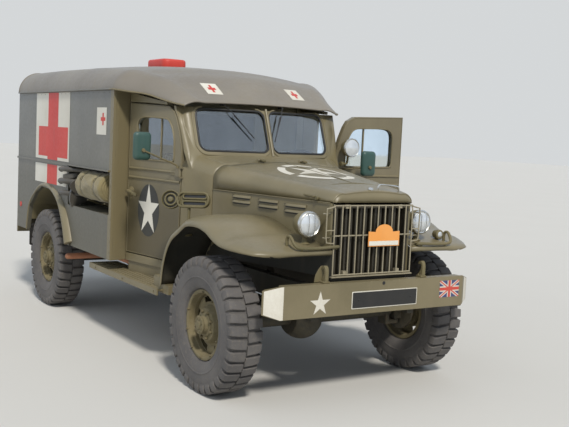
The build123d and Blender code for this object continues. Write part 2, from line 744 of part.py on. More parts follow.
def make_cowl():
    shape = cowl_solid(0) - cowl_solid(COWL_SKIN)
    shape -= block(-CAB_FRONT_HALF + 185, CAB_FRONT_HALF - 185, HOOD_REAR, DOOR_FRONT,
                   SILL_Z - 5, RAIL_HIGH + 4)
    frame = windshield_slab(vee_band, 0, FRAME_THICK, CAB_REAR_HALF) & cab_plan(0, 1300, 1900)
    for side in (-1, 1):
        frame -= pane_cut(side, VEE_Y - 80, VEE_Y + 420)
    shape += frame
    for side in (-1, 1):
        shape += prism_z([
            (side * cab_half(DOOR_FRONT - GAP), DOOR_FRONT - GAP - 10), (side * CAB_REAR_HALF, DOOR_REAR),
            (side * (CAB_REAR_HALF - 100), DOOR_REAR), (side * (CAB_FRONT_HALF - 100), DOOR_FRONT - GAP - 10),
        ], SILL_Z, DOOR_LOW - GAP)
        shape += prism_z([
            (side * (CAB_FRONT_HALF - 54), DOOR_FRONT - GAP - 10), (side * (CAB_REAR_HALF - 54), DOOR_REAR),
            (side * (CAB_REAR_HALF - 100), DOOR_REAR), (side * (CAB_FRONT_HALF - 100), DOOR_FRONT - GAP - 10),
        ], SILL_Z, FLOOR_Z - 2)
    dash_y = DOOR_FRONT - 60
    shape += block(-CAB_FRONT_HALF + 45, CAB_FRONT_HALF - 45, dash_y, dash_y + 26, 1250, 1440)
    shape += cab_plan(60, RAIL_HIGH + 3, FLOOR_Z - 2) & block(
        -1000, 1000, HOOD_REAR + GAP + 10, DOOR_REAR + 5, 0, 1000)
    shape += block(-CAB_REAR_HALF + 70, CAB_REAR_HALF - 70, DOOR_REAR - 5, BULKHEAD_Y - SEAT_GAP,
                   RAIL_HIGH + 3, FLOOR_Z - 2)
    rebate = door_slab(door_outline(GAP), DOOR_THICK + GAP, -4)
    shape = shape - rebate - other_side(rebate)
    for side in (-1, 1):
        for z in DOOR_HINGES:
            shape += hinge_ears(side * HINGE_X, HINGE_Y, z)
            for low in (z - 9, z + HINGE_TALL + 1):
                shape += block(side * (HINGE_X - 22), side * (HINGE_X + 7), DOOR_FRONT - GAP - 16,
                               DOOR_FRONT - GAP - 1, low, low + 8)
                shape += block(side * (HINGE_X - 4), side * (HINGE_X + 7), DOOR_FRONT - GAP - 2,
                               HINGE_Y, low, low + 8)
    for x in HOOD_HINGES:
        shape += disc_x(x - 30, x + 30, HOOD_REAR, HOOD_HINGE_Z, PIN_R)
        for x0 in (x - 30, x + 16):
            shape += disc_x(x0, x0 + 14, HOOD_REAR, HOOD_HINGE_Z, EAR_R)
            shape += block(x0, x0 + 14, HOOD_REAR, HOOD_REAR + 24, HOOD_HINGE_Z - 30, HOOD_HINGE_Z + 5)
    return shape


nodes["cowl_and_cab"] = make_cowl()


def make_windshield_glass():
    glass = windshield_slab(glass_band, 15, GLASS, PANE_HALF + 20)
    panes = None
    for side in (-1, 1):
        pane = glass & pane_cut(side, VEE_Y - 80, VEE_Y + 420, SEAT_GAP)
        panes = pane if panes is None else panes + pane
    return panes


nodes["windshield_glass"] = make_windshield_glass()


# Roof: crowned shell over the body, narrowing and falling to the windshield
ROOF_SKIN = 22.0
BODY_ROOF = (
    # station, crown height
    (BODY_REAR, CROWN_Z - 6), (AXLE_R - 60, CROWN_Z), (BODY_FRONT + 640, CROWN_Z - 20),
    (BODY_FRONT, CROWN_Z - 60),
)
SHOULDER_Z = ROOF_EDGE_Z + 15.0
ROOF_HALF = BODY_HALF + 12.0
CAB_ROOF = (
    # distance ahead of the body front, half width, edge height, shoulder height, crown height
    (0.0, ROOF_HALF, ROOF_EDGE_Z, SHOULDER_Z, CROWN_Z - 60),
    (294.0, 812.0, 1912.0, 1926.0, 2090.0),
    (439.0, 752.0, 1876.0, 1888.0, 2014.0),
    (560.0, 714.0, 1852.0, 1862.0, 1938.0),
    (640.0, 672.0, 1840.0, 1848.0, 1882.0),
)


def chain(sections):
    """Ruled lofts between neighbouring sections, joined into one solid."""
    solid = None
    for a, b in zip(sections, sections[1:]):
        piece = loft([a, b], ruled=True)
        solid = piece if solid is None else solid + piece
    return solid


def roof_outside():
    sections = [crown_face(y, ROOF_HALF, ROOF_EDGE_Z, SHOULDER_Z, crown, 220) for y, crown in BODY_ROOF]
    for ahead, half, low, shoulder, crown in CAB_ROOF[1:]:
        sections.append(crown_face(BODY_FRONT - ahead, half, low, shoulder, crown, half * 0.23))
    return chain(sections)


def roof_inside():
    sections = []
    for y, crown in BODY_ROOF:
        back = ROOF_SKIN if y == BODY_REAR else 0
        sections.append(crown_face(y - back, BODY_HALF - WALL, ROOF_EDGE_Z - 40, SHOULDER_Z,
                                   crown - ROOF_SKIN, 220))
    hollow = chain(sections)
    front = []
    for ahead, half, low, shoulder, crown in CAB_ROOF:
        y = BODY_FRONT - ahead + (18 if ahead else 40)
        inner = min(half - 18, cab_half(y) - DOOR_THICK)
        front.append(crown_face(y, inner, low - 60, shoulder, crown - ROOF_SKIN, inner * 0.23))
    return hollow, chain(front)


def make_roof():
    shape = roof_outside()
    for hollow in roof_inside():
        shape -= hollow
    rail_front = DOOR_FRONT + 200
    for side in (-1, 1):
        rail = prism_z([
            (side * cab_half(rail_front), rail_front), (side * cab_half(DOOR_REAR), DOOR_REAR + GAP),
            (side * (cab_half(DOOR_REAR) - DOOR_THICK - 2), DOOR_REAR + GAP),
            (side * (cab_half(rail_front) - DOOR_THICK - 2), rail_front),
        ], DOOR_TOP, ROOF_EDGE_Z - 8)
        shape += rail & chain([
            crown_face(BODY_FRONT + 40, 1000, 1700, 1800, 1990, 150),
            crown_face(DOOR_FRONT, 900, 1700, 1760, 1900, 150),
        ])
    rebate = door_slab(door_outline(GAP), DOOR_THICK + GAP, -60)
    return shape - rebate - other_side(rebate)


nodes["roof"] = make_roof()


# Roof ventilator near the front of the body
VENT_FRONT = BODY_FRONT + 920.0
VENT_LENGTH = 390.0
VENT_WIDTH = 240.0
VENT_TOP = CROWN_Z + 70.0


def make_vent():
    mid = VENT_FRONT + VENT_LENGTH / 2
    plinth = Pos(0, mid, VENT_TOP - 75) * Box(VENT_WIDTH - 60, VENT_LENGTH - 80, 80)
    cap = Pos(0, mid, VENT_TOP - 30) * Box(VENT_WIDTH, VENT_LENGTH, 60)
    cap = fillet(cap.edges().filter_by(Axis.Z), 50)
    cap = chamfer(cap.faces().sort_by(Axis.Z)[-1].edges(), 24)
    return (plinth + cap) - Pos(0, 0, SEAT_GAP) * roof_outside()


nodes["roof_vent"] = make_vent()


# Body sides with wheel arch, flare, belt rail and front corner
SIDE_RAIL_Z = 1323.0


def arch_points(grow=0.0):
    span = ARCH_REAR - ARCH_FRONT
    rise = ARCH_TOP + grow
    table = (
        # share of the span, height
        (0.0, SILL_Z - 20), (0.052, 763.0), (0.125, 884.0), (0.245, 1002.0), (0.44, 1081.0),
        (0.63, 1091.0), (0.78, 1021.0), (0.935, 883.0), (1.0, SILL_Z - 20),
    )
    lift = rise / ARCH_TOP
    y0 = ARCH_FRONT - grow
    width = span + 2 * grow
    return [(y0 + share * width, z * lift if z > SILL_Z else z) for share, z in table]


def make_side(left):
    outer = BODY_HALF
    panel = block(outer - WALL, outer, BODY_FRONT, BODY_REAR, SILL_Z, ROOF_EDGE_Z - SEAT_GAP)
    corner = prism_z([
        (outer, BODY_FRONT), (outer, BODY_FRONT + WALL + 40), (outer - WALL, BODY_FRONT + WALL + 40),
        (CAB_REAR_HALF, BULKHEAD_Y), (CAB_REAR_HALF - 66, BULKHEAD_Y),
        (CAB_REAR_HALF - 66, DOOR_REAR + GAP + 8), (CAB_REAR_HALF - 4, DOOR_REAR + GAP + 4),
        (CAB_REAR_HALF, DOOR_REAR + GAP), (outer - 40, BODY_FRONT + 4),
    ], SILL_Z, ROOF_EDGE_Z - SEAT_GAP)
    shape = panel + corner
    shape -= prism_x(arch_points(), outer - WALL - 5, outer + 5)
    flare = prism_x(arch_points(34), outer - 4, outer + 12) - prism_x(arch_points(), outer - 10, outer + 20)
    shape += flare & block(outer - 10, outer + 20, ARCH_FRONT - 60, ARCH_REAR + 60, SILL_Z, 1300)
    rail_front = BODY_FRONT + 900 if left else TOOL_FRONT
    shape += block(outer - 2, outer + 12, rail_front, BODY_REAR, SIDE_RAIL_Z - 9,
                   SIDE_RAIL_Z + 9)
    if left:
        well = disc_x(outer - RECESS_DEPTH, outer + 5, SPARE_Y, SPARE_Z, RECESS_R)
        pan = disc_x(outer - RECESS_DEPTH - SHEET, outer - WALL + 1, SPARE_Y, SPARE_Z, RECESS_R + SHEET)
    else:
        deep = outer - TOOL_DEPTH
        turn = TOOL_FRONT + 52
        well = prism_z([(outer + 20, TOOL_FRONT), (outer, TOOL_FRONT), (outer - 120, turn), (deep, turn),
                        (deep, TOOL_REAR), (outer + 20, TOOL_REAR)], TOOL_LOW, TOOL_HIGH)
        pan = prism_z([(outer - WALL + 1, TOOL_FRONT - 5), (outer - 125, turn - SHEET),
                       (deep - SHEET, turn - SHEET), (deep - SHEET, TOOL_REAR + SHEET),
                       (outer - WALL + 1, TOOL_REAR + SHEET)], TOOL_LOW - SHEET, TOOL_HIGH + SHEET)
    shape = (shape + pan) - well
    trim = block(0, 2000, BODY_FRONT - 100, REAR_Y, 0, SILL_Z)
    return shape - trim


nodes["body_side_left"] = make_side(True)
nodes["body_side_right"] = other_side(make_side(False))


# Rear wall with the double-door opening, bulkhead behind the cab, and floor
def make_rear_wall():
    half = BODY_HALF - WALL - SEAT_GAP
    wall = block(-half, half, BODY_REAR - WALL, BODY_REAR, SILL_Z, ROOF_EDGE_Z - SEAT_GAP)
    wall -= block(-REAR_OPENING_HALF, REAR_OPENING_HALF, BODY_REAR - 60, BODY_REAR + 5,
                  FLOOR_Z, REAR_OPENING_TOP)
    for side in (-1, 1):
        for z in REAR_HINGES:
            wall += hinge_ears(side * REAR_HINGE_X, REAR_HINGE_Y, z)
            for low in (z - 9, z + HINGE_TALL + 1):
                wall += block(side * REAR_HINGE_X, side * (REAR_HINGE_X + 30), BODY_REAR - 1,
                              REAR_HINGE_Y + 3, low, low + 8)
    return wall


def make_bulkhead():
    half = CAB_REAR_HALF - 1
    y = BULKHEAD_Y
    wall = block(-half, half, y, y + WALL, RAIL_HIGH + SEAT_GAP, ROOF_EDGE_Z - SEAT_GAP)
    wall -= block(-330, 330, y - 5, y + WALL + 5, FLOOR_Z + 30, 1800)
    return wall


BOX_INNER = TRACK / 2 - TYRE_HALF_WIDTH - 60.0


def make_floor():
    half = BODY_HALF - WALL - SEAT_GAP
    y0 = BULKHEAD_Y + WALL + SEAT_GAP
    y1 = BODY_REAR - WALL - SEAT_GAP
    deck = block(-half, half, y0, y1, FLOOR_Z - 24, FLOOR_Z)
    above = block(0, 2000, 0, REAR_Y, FLOOR_Z - 24, 2000)
    hollow = prism_x(arch_points(), BOX_INNER, BODY_HALF)
    house = prism_x(arch_points(SHEET), BOX_INNER - SHEET, half) & above
    for side in (False, True):
        solid = other_side(house) if side else house
        void = other_side(hollow) if side else hollow
        deck = (deck + solid) - void
    left_well = disc_x(BODY_HALF - RECESS_DEPTH - SHEET - SEAT_GAP, BODY_HALF, SPARE_Y, SPARE_Z,
                       RECESS_R + SHEET + SEAT_GAP)
    return deck - left_well


nodes["rear_wall"] = make_rear_wall()
nodes["bulkhead"] = make_bulkhead()
nodes["load_floor"] = make_floor()


# Front doors: flat slabs on the cab's taper, hung at their front edge
def window_outline(shrink=0.0):
    long = DOOR_LENGTH - GAP
    return [
        (92 + shrink, 1432 + shrink), (96 + shrink, 1600), (128 + shrink, 1690),
        (180, 1742 - shrink), (long - 150, 1752 - shrink), (long - 100 - shrink, 1700),
        (long - 100 - shrink, 1432 + shrink),
    ]


def swing(shape, degrees):
    """Turn a left door about its hinge axis, opening outwards."""
    axis = Axis((HINGE_X, HINGE_Y, 0), (0, 0, 1))
    return shape.rotate(axis, -degrees)


def make_door():
    slab = door_slab(door_outline(), DOOR_THICK, 0)
    slab -= door_slab(window_outline(), DOOR_THICK + 10, -10)
    for z in DOOR_HINGES:
        slab += hinge_barrel(HINGE_X, HINGE_Y, z, BARREL_R)
        slab += block(HINGE_X - 10, HINGE_X + 14, HINGE_Y + 2, HINGE_Y + 52, z, z + HINGE_TALL)
        slab -= hinge_bore(HINGE_X, HINGE_Y, z)
    long = DOOR_LENGTH - GAP
    handle = prism_x([(long - 130, 1168), (long - 30, 1168), (long - 30, 1190), (long - 130, 1190)], 28, 44)
    handle += prism_x([(long - 60, 1164), (long - 36, 1164), (long - 36, 1194), (long - 60, 1194)], -2, 32)
    slab += Pos(CAB_FRONT_HALF, DOOR_FRONT, 0) * (Rot(0, 0, -DOOR_TAPER) * handle)
    return slab


door = make_door()
door_glass = door_slab(window_outline(SEAT_GAP), DOOR_THICK / 2 + GLASS / 2, DOOR_THICK / 2 - GLASS / 2)
nodes["door_left"] = swing(door, LEFT_DOOR_OPEN)
nodes["door_right"] = other_side(door)
nodes["door_glass_left"] = swing(door_glass, LEFT_DOOR_OPEN)
nodes["door_glass_right"] = other_side(door_glass)


# Rear doors: two leaves hung at the body's outer posts
REAR_WINDOW_X = 310.0
REAR_WINDOW_Z = 1590.0
REAR_WINDOW = (320.0, 300.0)


def rear_window(y0, y1, shrink=0.0):
    width, height = REAR_WINDOW
    plane = Plane(origin=(REAR_WINDOW_X, max(y0, y1), REAR_WINDOW_Z), x_dir=(1, 0, 0), z_dir=(0, -1, 0))
    return extrude(plane * RectangleRounded(width - 2 * shrink, height - 2 * shrink, 40), abs(y1 - y0))


def make_rear_door():
    x0 = GAP / 2
    x1 = REAR_OPENING_HALF - GAP
    leaf = block(x0, x1, BODY_REAR - REAR_DOOR_THICK, BODY_REAR, FLOOR_Z + GAP,
                 REAR_OPENING_TOP - GAP)
    leaf -= rear_window(BODY_REAR - 60, BODY_REAR + 10)
    for z in REAR_HINGES:
        leaf += block(x1 - 60, x1, BODY_REAR - 2, REAR_HINGE_Y + 4, z, z + HINGE_TALL)
        leaf += block(x1 - 4, REAR_HINGE_X, REAR_HINGE_Y - 4, REAR_HINGE_Y + 4, z, z + HINGE_TALL)
        leaf += hinge_barrel(REAR_HINGE_X, REAR_HINGE_Y, z, SMALL_BARREL_R)
        leaf -= hinge_bore(REAR_HINGE_X, REAR_HINGE_Y, z)
    return leaf


rear_door = make_rear_door()
rear_mid = BODY_REAR - REAR_DOOR_THICK / 2
rear_glass = rear_window(rear_mid - GLASS / 2, rear_mid + GLASS / 2, SEAT_GAP)
handle = block(14, 34, BODY_REAR - 2, BODY_REAR + 34, 1180, 1200)
handle += block(14, 120, BODY_REAR + 24, BODY_REAR + 36, 1182, 1198)
nodes["rear_door_left"] = rear_door + handle
nodes["rear_door_right"] = other_side(rear_door)
nodes["rear_glass_left"] = rear_glass
nodes["rear_glass_right"] = other_side(rear_glass)


# Running boards, each with a box at its front end
BOARD_Z = 560.0
BOARD_REAR = BODY_FRONT + 460.0


def make_board():
    shape = block(CAB_FRONT_HALF + 10, FENDER_HALF - 10, FENDER_REAR + 1, BOARD_REAR,
                  BOARD_Z - 14, BOARD_Z)
    shape += block(FENDER_HALF - 22, FENDER_HALF - 10, FENDER_REAR + 1, BOARD_REAR,
                   BOARD_Z - 44, BOARD_Z)
    rail_side = RAIL_X + RAIL_W / 2
    for y in OUTRIGGERS[:2]:
        shape += block(rail_side + SEAT_GAP, CAB_FRONT_HALF + 30, y - 20, y + 20,
                       BOARD_Z - 24, BOARD_Z - 6)
        shape += block(rail_side + SEAT_GAP, rail_side + 16, y - 20, y + 20,
                       BOARD_Z - 24, RAIL_HIGH - 70 - SEAT_GAP)
    shape += block(CAB_FRONT_HALF + 10, FENDER_HALF - 60, FENDER_REAR + 5, FENDER_REAR + 160,
                   BOARD_Z - 30, BOARD_Z + 70)
    shape += block(CAB_FRONT_HALF + 10, FENDER_HALF - 60, AXLE_F + 550, FENDER_REAR + 6,
                   BOARD_Z - 30, BOARD_Z + 34)
    return shape


board = make_board()
nodes["running_boards"] = board + other_side(board)


# Lamps: headlights on the wings, small marker lamps, and tail lamps
HEAD_X = 452.0
HEAD_Y = NOSE_Y + 68.0
HEAD_Z = 1131.0
HEAD_R = 82.0
MARKER_X = 640.0
MARKER_R = 34.0
TAIL_X = 820.0
TAIL_Z = 960.0


def wing_top(y):
    """Height of the wing sheet ahead of the wheel."""
    share = (y - FENDER_KNEE) / (FENDER_FRONT - FENDER_KNEE)
    return FENDER_KNEE_Z + share * (FENDER_NOSE_Z - FENDER_KNEE_Z)


def make_lamps():
    shape = None
    for side in (-1, 1):
        x = side * HEAD_X
        lamp = disc_y(x, HEAD_Y - 10, HEAD_Y + 70, HEAD_Z, HEAD_R)
        bowl = Pos(x, HEAD_Y + 70, HEAD_Z) * Sphere(HEAD_R)
        lamp += bowl & block(x - 100, x + 100, HEAD_Y + 60, HEAD_Y + 170, HEAD_Z - 100, HEAD_Z + 100)
        foot_y = HEAD_Y + 40
        lamp += rod((x, foot_y, HEAD_Z - 60), (x, foot_y, wing_top(HEAD_Y + 30) - 10), 16)
        shape = lamp if shape is None else shape + lamp
        x = side * MARKER_X
        wing_z = wing_top(foot_y)
        shape += Pos(x, foot_y, wing_z + MARKER_R) * Sphere(MARKER_R)
        shape += rod((x, foot_y, wing_z + 10), (x, foot_y, wing_z - 10), 16)
    plane = Plane(origin=(-FENDER_HALF, 0, 0), x_dir=(0, 1, 0), z_dir=(1, 0, 0))
    shape -= extrude(plane * fender_outline(0, SEAT_GAP), 2 * FENDER_HALF)
    for side in (-1, 1):
        shape += disc_y(side * TAIL_X, BODY_REAR + SEAT_GAP, BODY_REAR + 46, TAIL_Z, 44)
    return shape


nodes["lamps"] = make_lamps()

# Spotlight on the left windshield post, and a siren on the right wing
SPOT = (756.0, AXLE_F + 712.0, 1588.0)
SPOT_R = 68.0
SPOT_DROP = 128.0


def make_spotlight():
    x, y, z = SPOT
    back = y + 42
    shape = disc_y(x, y - 12, back, z, SPOT_R)
    bowl = Pos(x, back, z) * Sphere(SPOT_R - 2)
    shape += bowl & block(x - 80, x + 80, y + 36, y + 108, z - 80, z + 80)
    stem_y = y + 44
    shape += rod((x, stem_y, z - 50), (x, stem_y, z - SPOT_DROP - 4), 10)
    shape += rod((x, stem_y, z - SPOT_DROP), (cab_half(stem_y) + 4.2, stem_y, z - SPOT_DROP), 9)
    return shape


nodes["spotlight"] = make_spotlight()

# The siren's round head faces forward and out; its slotted guard reaches in towards the hood
SIREN_HEAD = (-870.0, AXLE_F + 597.0, 1190.0)
SIREN_TIP = (-700.0, AXLE_F + 372.0, 1206.0)
SIREN_FACING = (-0.62, -0.74, 0.25)
SIREN_R = 65.0
SIREN_DEEP = 60.0
SIREN_POST = (-775.0, AXLE_F + 502.0)


def make_siren():
    head = Vector(*SIREN_HEAD)
    facing = Vector(*SIREN_FACING).normalized()
    tip = Vector(*SIREN_TIP)
    back = head - facing * SIREN_DEEP
    shape = rod((back.X, back.Y, back.Z), SIREN_HEAD, SIREN_R)
    reach = Vector(tip.X - head.X, tip.Y - head.Y, 0)
    along = reach.normalized()
    across = Vector(-along.Y, along.X, 0) * 26
    near = Vector(head.X, head.Y, 0) + along * 30 - facing * SIREN_DEEP / 2
    far = near + along * (reach.length - 30)
    corners = (near + across, far + across, far - across, near - across)
    shape += prism_z([(c.X, c.Y) for c in corners], SIREN_HEAD[2] - 24, SIREN_HEAD[2] + 34)
    x, y = SIREN_POST
    shape += rod((x, y, SIREN_HEAD[2] - 20), (x, y, FENDER_TOP - 260), 11)
    plane = Plane(origin=(-FENDER_HALF, 0, 0), x_dir=(0, 1, 0), z_dir=(1, 0, 0))
    return shape - extrude(plane * fender_outline(0, SEAT_GAP), FENDER_HALF)


nodes["siren"] = make_siren()


# Mirrors on arms that stand on the upper hinge strap of each door
MIRROR_W = 132.0
MIRROR_H = 200.0
MIRROR_THICK = 16.0
LEFT_MIRROR = (900.0, DOOR_FRONT - 139.0, 1467.0)
RIGHT_MIRROR = (-950.0, DOOR_FRONT + 103.0, 1541.0)


def strap_point(side, opened):
    """Top of a door's upper hinge strap, with the door turned open by some degrees."""
    turn = math.radians(opened)
    out_x = 7.0
    back_y = 30.0
    x = out_x * math.cos(turn) + back_y * math.sin(turn)
    y = back_y * math.cos(turn) - out_x * math.sin(turn)
    return (side * (HINGE_X + x), HINGE_Y + y, DOOR_HINGES[-1] + HINGE_TALL + SEAT_GAP)


def make_mirror(head, foot):
    x, y, z = head
    plate = Pos(x, y, z) * Box(MIRROR_W, MIRROR_THICK, MIRROR_H)
    plate = fillet(plate.edges().filter_by(Axis.Y), 24)
    foot_x, foot_y, foot_z = foot
    shape = plate + rod((x, y + 6, z - 20), (foot_x, foot_y, foot_z + 14), 7)
    return shape + rod(foot, (foot_x, foot_y, foot_z + 18), 6)


nodes["mirror_right"] = make_mirror(RIGHT_MIRROR, strap_point(-1, 0))
nodes["mirror_left"] = make_mirror(LEFT_MIRROR, strap_point(1, LEFT_DOOR_OPEN))


# Cab fittings: seats, steering column and wheel
SEAT_X = 330.0
SEAT_HALF = 215.0
SEAT_REAR = DOOR_REAR - 40.0


def make_seat_frames():
    shape = None
    for side in (-1, 1):
        x = side * SEAT_X
        seat = block(x - SEAT_HALF + 20, x + SEAT_HALF - 20, SEAT_REAR - 430, SEAT_REAR - 60,
                     FLOOR_Z - 1.7, SEAT_Z - 20)
        seat += block(x - SEAT_HALF + 10, x + SEAT_HALF - 10, SEAT_REAR - 26, SEAT_REAR - 8,
                      SEAT_Z - 60, SEAT_Z + 470)
        seat += block(x - SEAT_HALF + 20, x + SEAT_HALF - 20, SEAT_REAR - 70, SEAT_REAR - 8,
                      SEAT_Z - 60, SEAT_Z - 20)
        shape = seat if shape is None else shape + seat
    return shape


def make_cushions():
    shape = None
    for side in (-1, 1):
        x = side * SEAT_X
        seat = Pos(x, SEAT_REAR - 265, SEAT_Z + 30 + SEAT_GAP) * Box(2 * SEAT_HALF, 440, 100)
        back = Pos(x, SEAT_REAR - 26 - SEAT_GAP - 42, SEAT_Z + 290) * Box(2 * SEAT_HALF, 84, 380)
        shape = seat + back if shape is None else shape + seat + back
    return shape


nodes["seat_frames"] = make_seat_frames()
nodes["seat_cushions"] = make_cushions()

WHEEL_R = 215.0
STEER_X = 340.0
COLUMN_TOP = (STEER_X, DOOR_FRONT + 190.0, 1430.0)
COLUMN_LOW = (STEER_X, HOOD_REAR + 60.0, 781.0)


def make_steering():
    top = Vector(*COLUMN_TOP)
    low = Vector(*COLUMN_LOW)
    shape = rod(COLUMN_LOW, COLUMN_TOP, 22)
    plane = Plane(origin=top, z_dir=(top - low).normalized())
    shape += plane * Torus(WHEEL_R, 13)
    for angle in (0, 120, 240):
        spoke = Rot(0, 0, angle) * (Pos(WHEEL_R / 2, 0, 0) * Box(WHEEL_R, 18, 12))
        shape += plane * spoke
    shape += plane * Cylinder(38, 40)
    share = (DOOR_FRONT - 47 - low.Y) / (top.Y - low.Y)
    shape += block(STEER_X - 16, STEER_X + 16, DOOR_FRONT - 56, DOOR_FRONT - 38,
                   low.Z + share * (top.Z - low.Z), 1249.7)
    return shape


nodes["steering_column"] = make_steering()


# Benches along the load space, above the wheel boxes
BENCH_Z = 1180.0


def make_bench(front):
    back = BODY_REAR - WALL - 40
    shape = block(BOX_INNER - 120, BODY_HALF - WALL - SEAT_GAP, front, back, BENCH_Z, BENCH_Z + 50)
    for y in (front + 30, back - 40):
        shape += block(BOX_INNER - 110, BOX_INNER - 70, y - 20, y + 20, FLOOR_Z + SEAT_GAP, BENCH_Z + 2)
    return shape


BENCH_FRONT = SPARE_Y + RECESS_R + SHEET + 20
bench = make_bench(BENCH_FRONT)
nodes["side_benches"] = bench + other_side(bench)


# Hand tools and a rolled canvas, carried in the right recess
def make_tools():
    x0 = -BODY_HALF + TOOL_DEPTH
    mid = (TOOL_LOW + TOOL_HIGH) / 2
    front = TOOL_FRONT + 90
    shape = block(x0 - 20, x0 - SEAT_GAP, front + 300, front + 340, TOOL_LOW + 30, TOOL_HIGH - 30)
    for n, z in enumerate((mid - 96, mid, mid + 96)):
        shape += disc_y(x0 - 34, front + 20 * n, TOOL_REAR - 60, z, 17)
        head = TOOL_REAR - 200 + 40 * n
        shape += block(x0 - 70, x0 - 26, head, head + 90, z - 42, z + 34)
    shelf = ROLL_Z - ROLL_R - SEAT_GAP
    for y in (TOOL_FRONT + 190, TOOL_FRONT + 560):
        shape += block(x0 - SEAT_GAP, ROLL_X - 26, y, y + 30, shelf - 14, shelf)
    return shape


ROLL_R = 92.0
ROLL_X = -BODY_HALF + TOOL_DEPTH - 72 - ROLL_R
ROLL_Z = TOOL_LOW + 225.0


def make_roll():
    return disc_y(ROLL_X, TOOL_FRONT + 110, TOOL_FRONT + 660, ROLL_Z, ROLL_R)


nodes["pioneer_tools"] = make_tools()
nodes["canvas_roll"] = make_roll()


# Exhaust, fuel tank, rear step with bumperettes and towing pintle
PIPE_R = 26.0
SILENCER_R = 68.0


def make_exhaust():
    runs = [(-180, ENGINE_REAR - 90, 572), (-290, HOOD_REAR + 60, 545), (-300, BODY_FRONT + 170, 540),
            (-560, BODY_FRONT + 540, 545), (-560, AXLE_R - 690, 545), (-925, AXLE_R - 600, 530)]
    shape = None
    for a, b in zip(runs, runs[1:]):
        pipe = rod(a, b, PIPE_R) + Pos(*b) * Sphere(PIPE_R)
        shape = pipe if shape is None else shape + pipe
    shape += disc_y(-300, AXLE_F + 1080, AXLE_F + 1500, 540, SILENCER_R)
    shape += rod(runs[0], (-180, ENGINE_REAR - 90, ENGINE_LOW - SEAT_GAP), PIPE_R)
    shape += block(-306, -282, AXLE_F + 1012, AXLE_F + 1032, 550, RAIL_LOW + 15 - SEAT_GAP)
    return shape


nodes["exhaust"] = make_exhaust()

TANK_FRONT = AXLE_R + 260.0
TANK_REAR = BODY_REAR - 140.0


def make_tank():
    shape = block(-RAIL_X + 60, RAIL_X - 60, TANK_FRONT, TANK_REAR, 470, 690)
    strap = RAIL_X - RAIL_W / 2 - SEAT_GAP
    for y in (TANK_FRONT + 60, TANK_REAR - 60):
        shape += block(-strap, strap, y - 25, y + 25, 630, 700)
    return shape


nodes["fuel_tank"] = make_tank()

STEP_Z = 500.0
PINTLE_Z = 600.0
PINTLE_R = 27.0
PINTLE_WIDTH = 44.0


def make_rear_step():
    front = RAIL_REAR + SEAT_GAP
    shape = block(-520, 520, BODY_REAR + 60, REAR_Y, STEP_Z - 26, STEP_Z)
    shape += block(-640, 640, front, front + 34, 564, 636)
    for side in (-1, 1):
        x = side * RAIL_X
        shape += block(x - 30, x + 30, front, front + 34, STEP_Z - 50, 600)
        shape += block(x - 30, x + 30, front, BODY_REAR + 120, STEP_Z - 50, STEP_Z - 24)
        shape += block(side * 560, side * 900, BODY_REAR + 150, BODY_REAR + 172, 560, 700)
        shape += block(side * 580, side * 638, front, BODY_REAR + 152, 606, 634)
    shape += block(-60, 60, front, BODY_REAR + 10, 566, 634)
    eye_y = BODY_REAR + 126
    shank = PINTLE_WIDTH / 2 - 6
    low = PINTLE_Z - PINTLE_WIDTH / 2
    eye = rod((0, eye_y, low), (0, eye_y, low + PINTLE_WIDTH), PINTLE_R + 18)
    eye += block(-shank, shank, BODY_REAR + 9, eye_y - PINTLE_R - 4, PINTLE_Z - shank, PINTLE_Z + shank)
    eye -= rod((0, eye_y, low - 20), (0, eye_y, low + PINTLE_WIDTH + 20), PINTLE_R)
    return shape + eye


nodes["rear_step"] = make_rear_step()

for name, shape in nodes.items():
    part = Part() + shape
    part.label = name
    export_step(part, "parts/" + name + ".step")
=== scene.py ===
"""Visual scene of the field ambulance: skins, fittings, paint and stage over the CAD frame."""
import json
from math import asin, atan, atan2, cos, exp, floor as round_down, hypot, pi, radians, sin, tan

import bmesh
import bpy
from mathutils import Matrix, Vector
from mathutils.bvhtree import BVHTree


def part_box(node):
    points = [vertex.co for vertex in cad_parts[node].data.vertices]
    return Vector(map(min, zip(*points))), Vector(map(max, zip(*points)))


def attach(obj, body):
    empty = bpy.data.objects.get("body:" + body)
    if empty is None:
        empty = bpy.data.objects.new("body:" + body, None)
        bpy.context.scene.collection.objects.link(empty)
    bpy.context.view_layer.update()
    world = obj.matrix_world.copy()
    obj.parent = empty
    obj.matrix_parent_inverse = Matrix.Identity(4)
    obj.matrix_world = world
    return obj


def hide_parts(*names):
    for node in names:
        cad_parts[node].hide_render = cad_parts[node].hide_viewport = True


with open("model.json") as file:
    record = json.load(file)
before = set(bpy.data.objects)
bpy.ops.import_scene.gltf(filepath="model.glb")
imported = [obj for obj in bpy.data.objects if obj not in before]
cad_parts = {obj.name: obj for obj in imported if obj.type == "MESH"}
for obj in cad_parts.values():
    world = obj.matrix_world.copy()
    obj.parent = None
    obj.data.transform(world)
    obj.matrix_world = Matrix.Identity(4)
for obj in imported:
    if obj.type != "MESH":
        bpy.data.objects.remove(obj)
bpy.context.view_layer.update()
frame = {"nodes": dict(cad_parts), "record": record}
nodes = frame["nodes"]

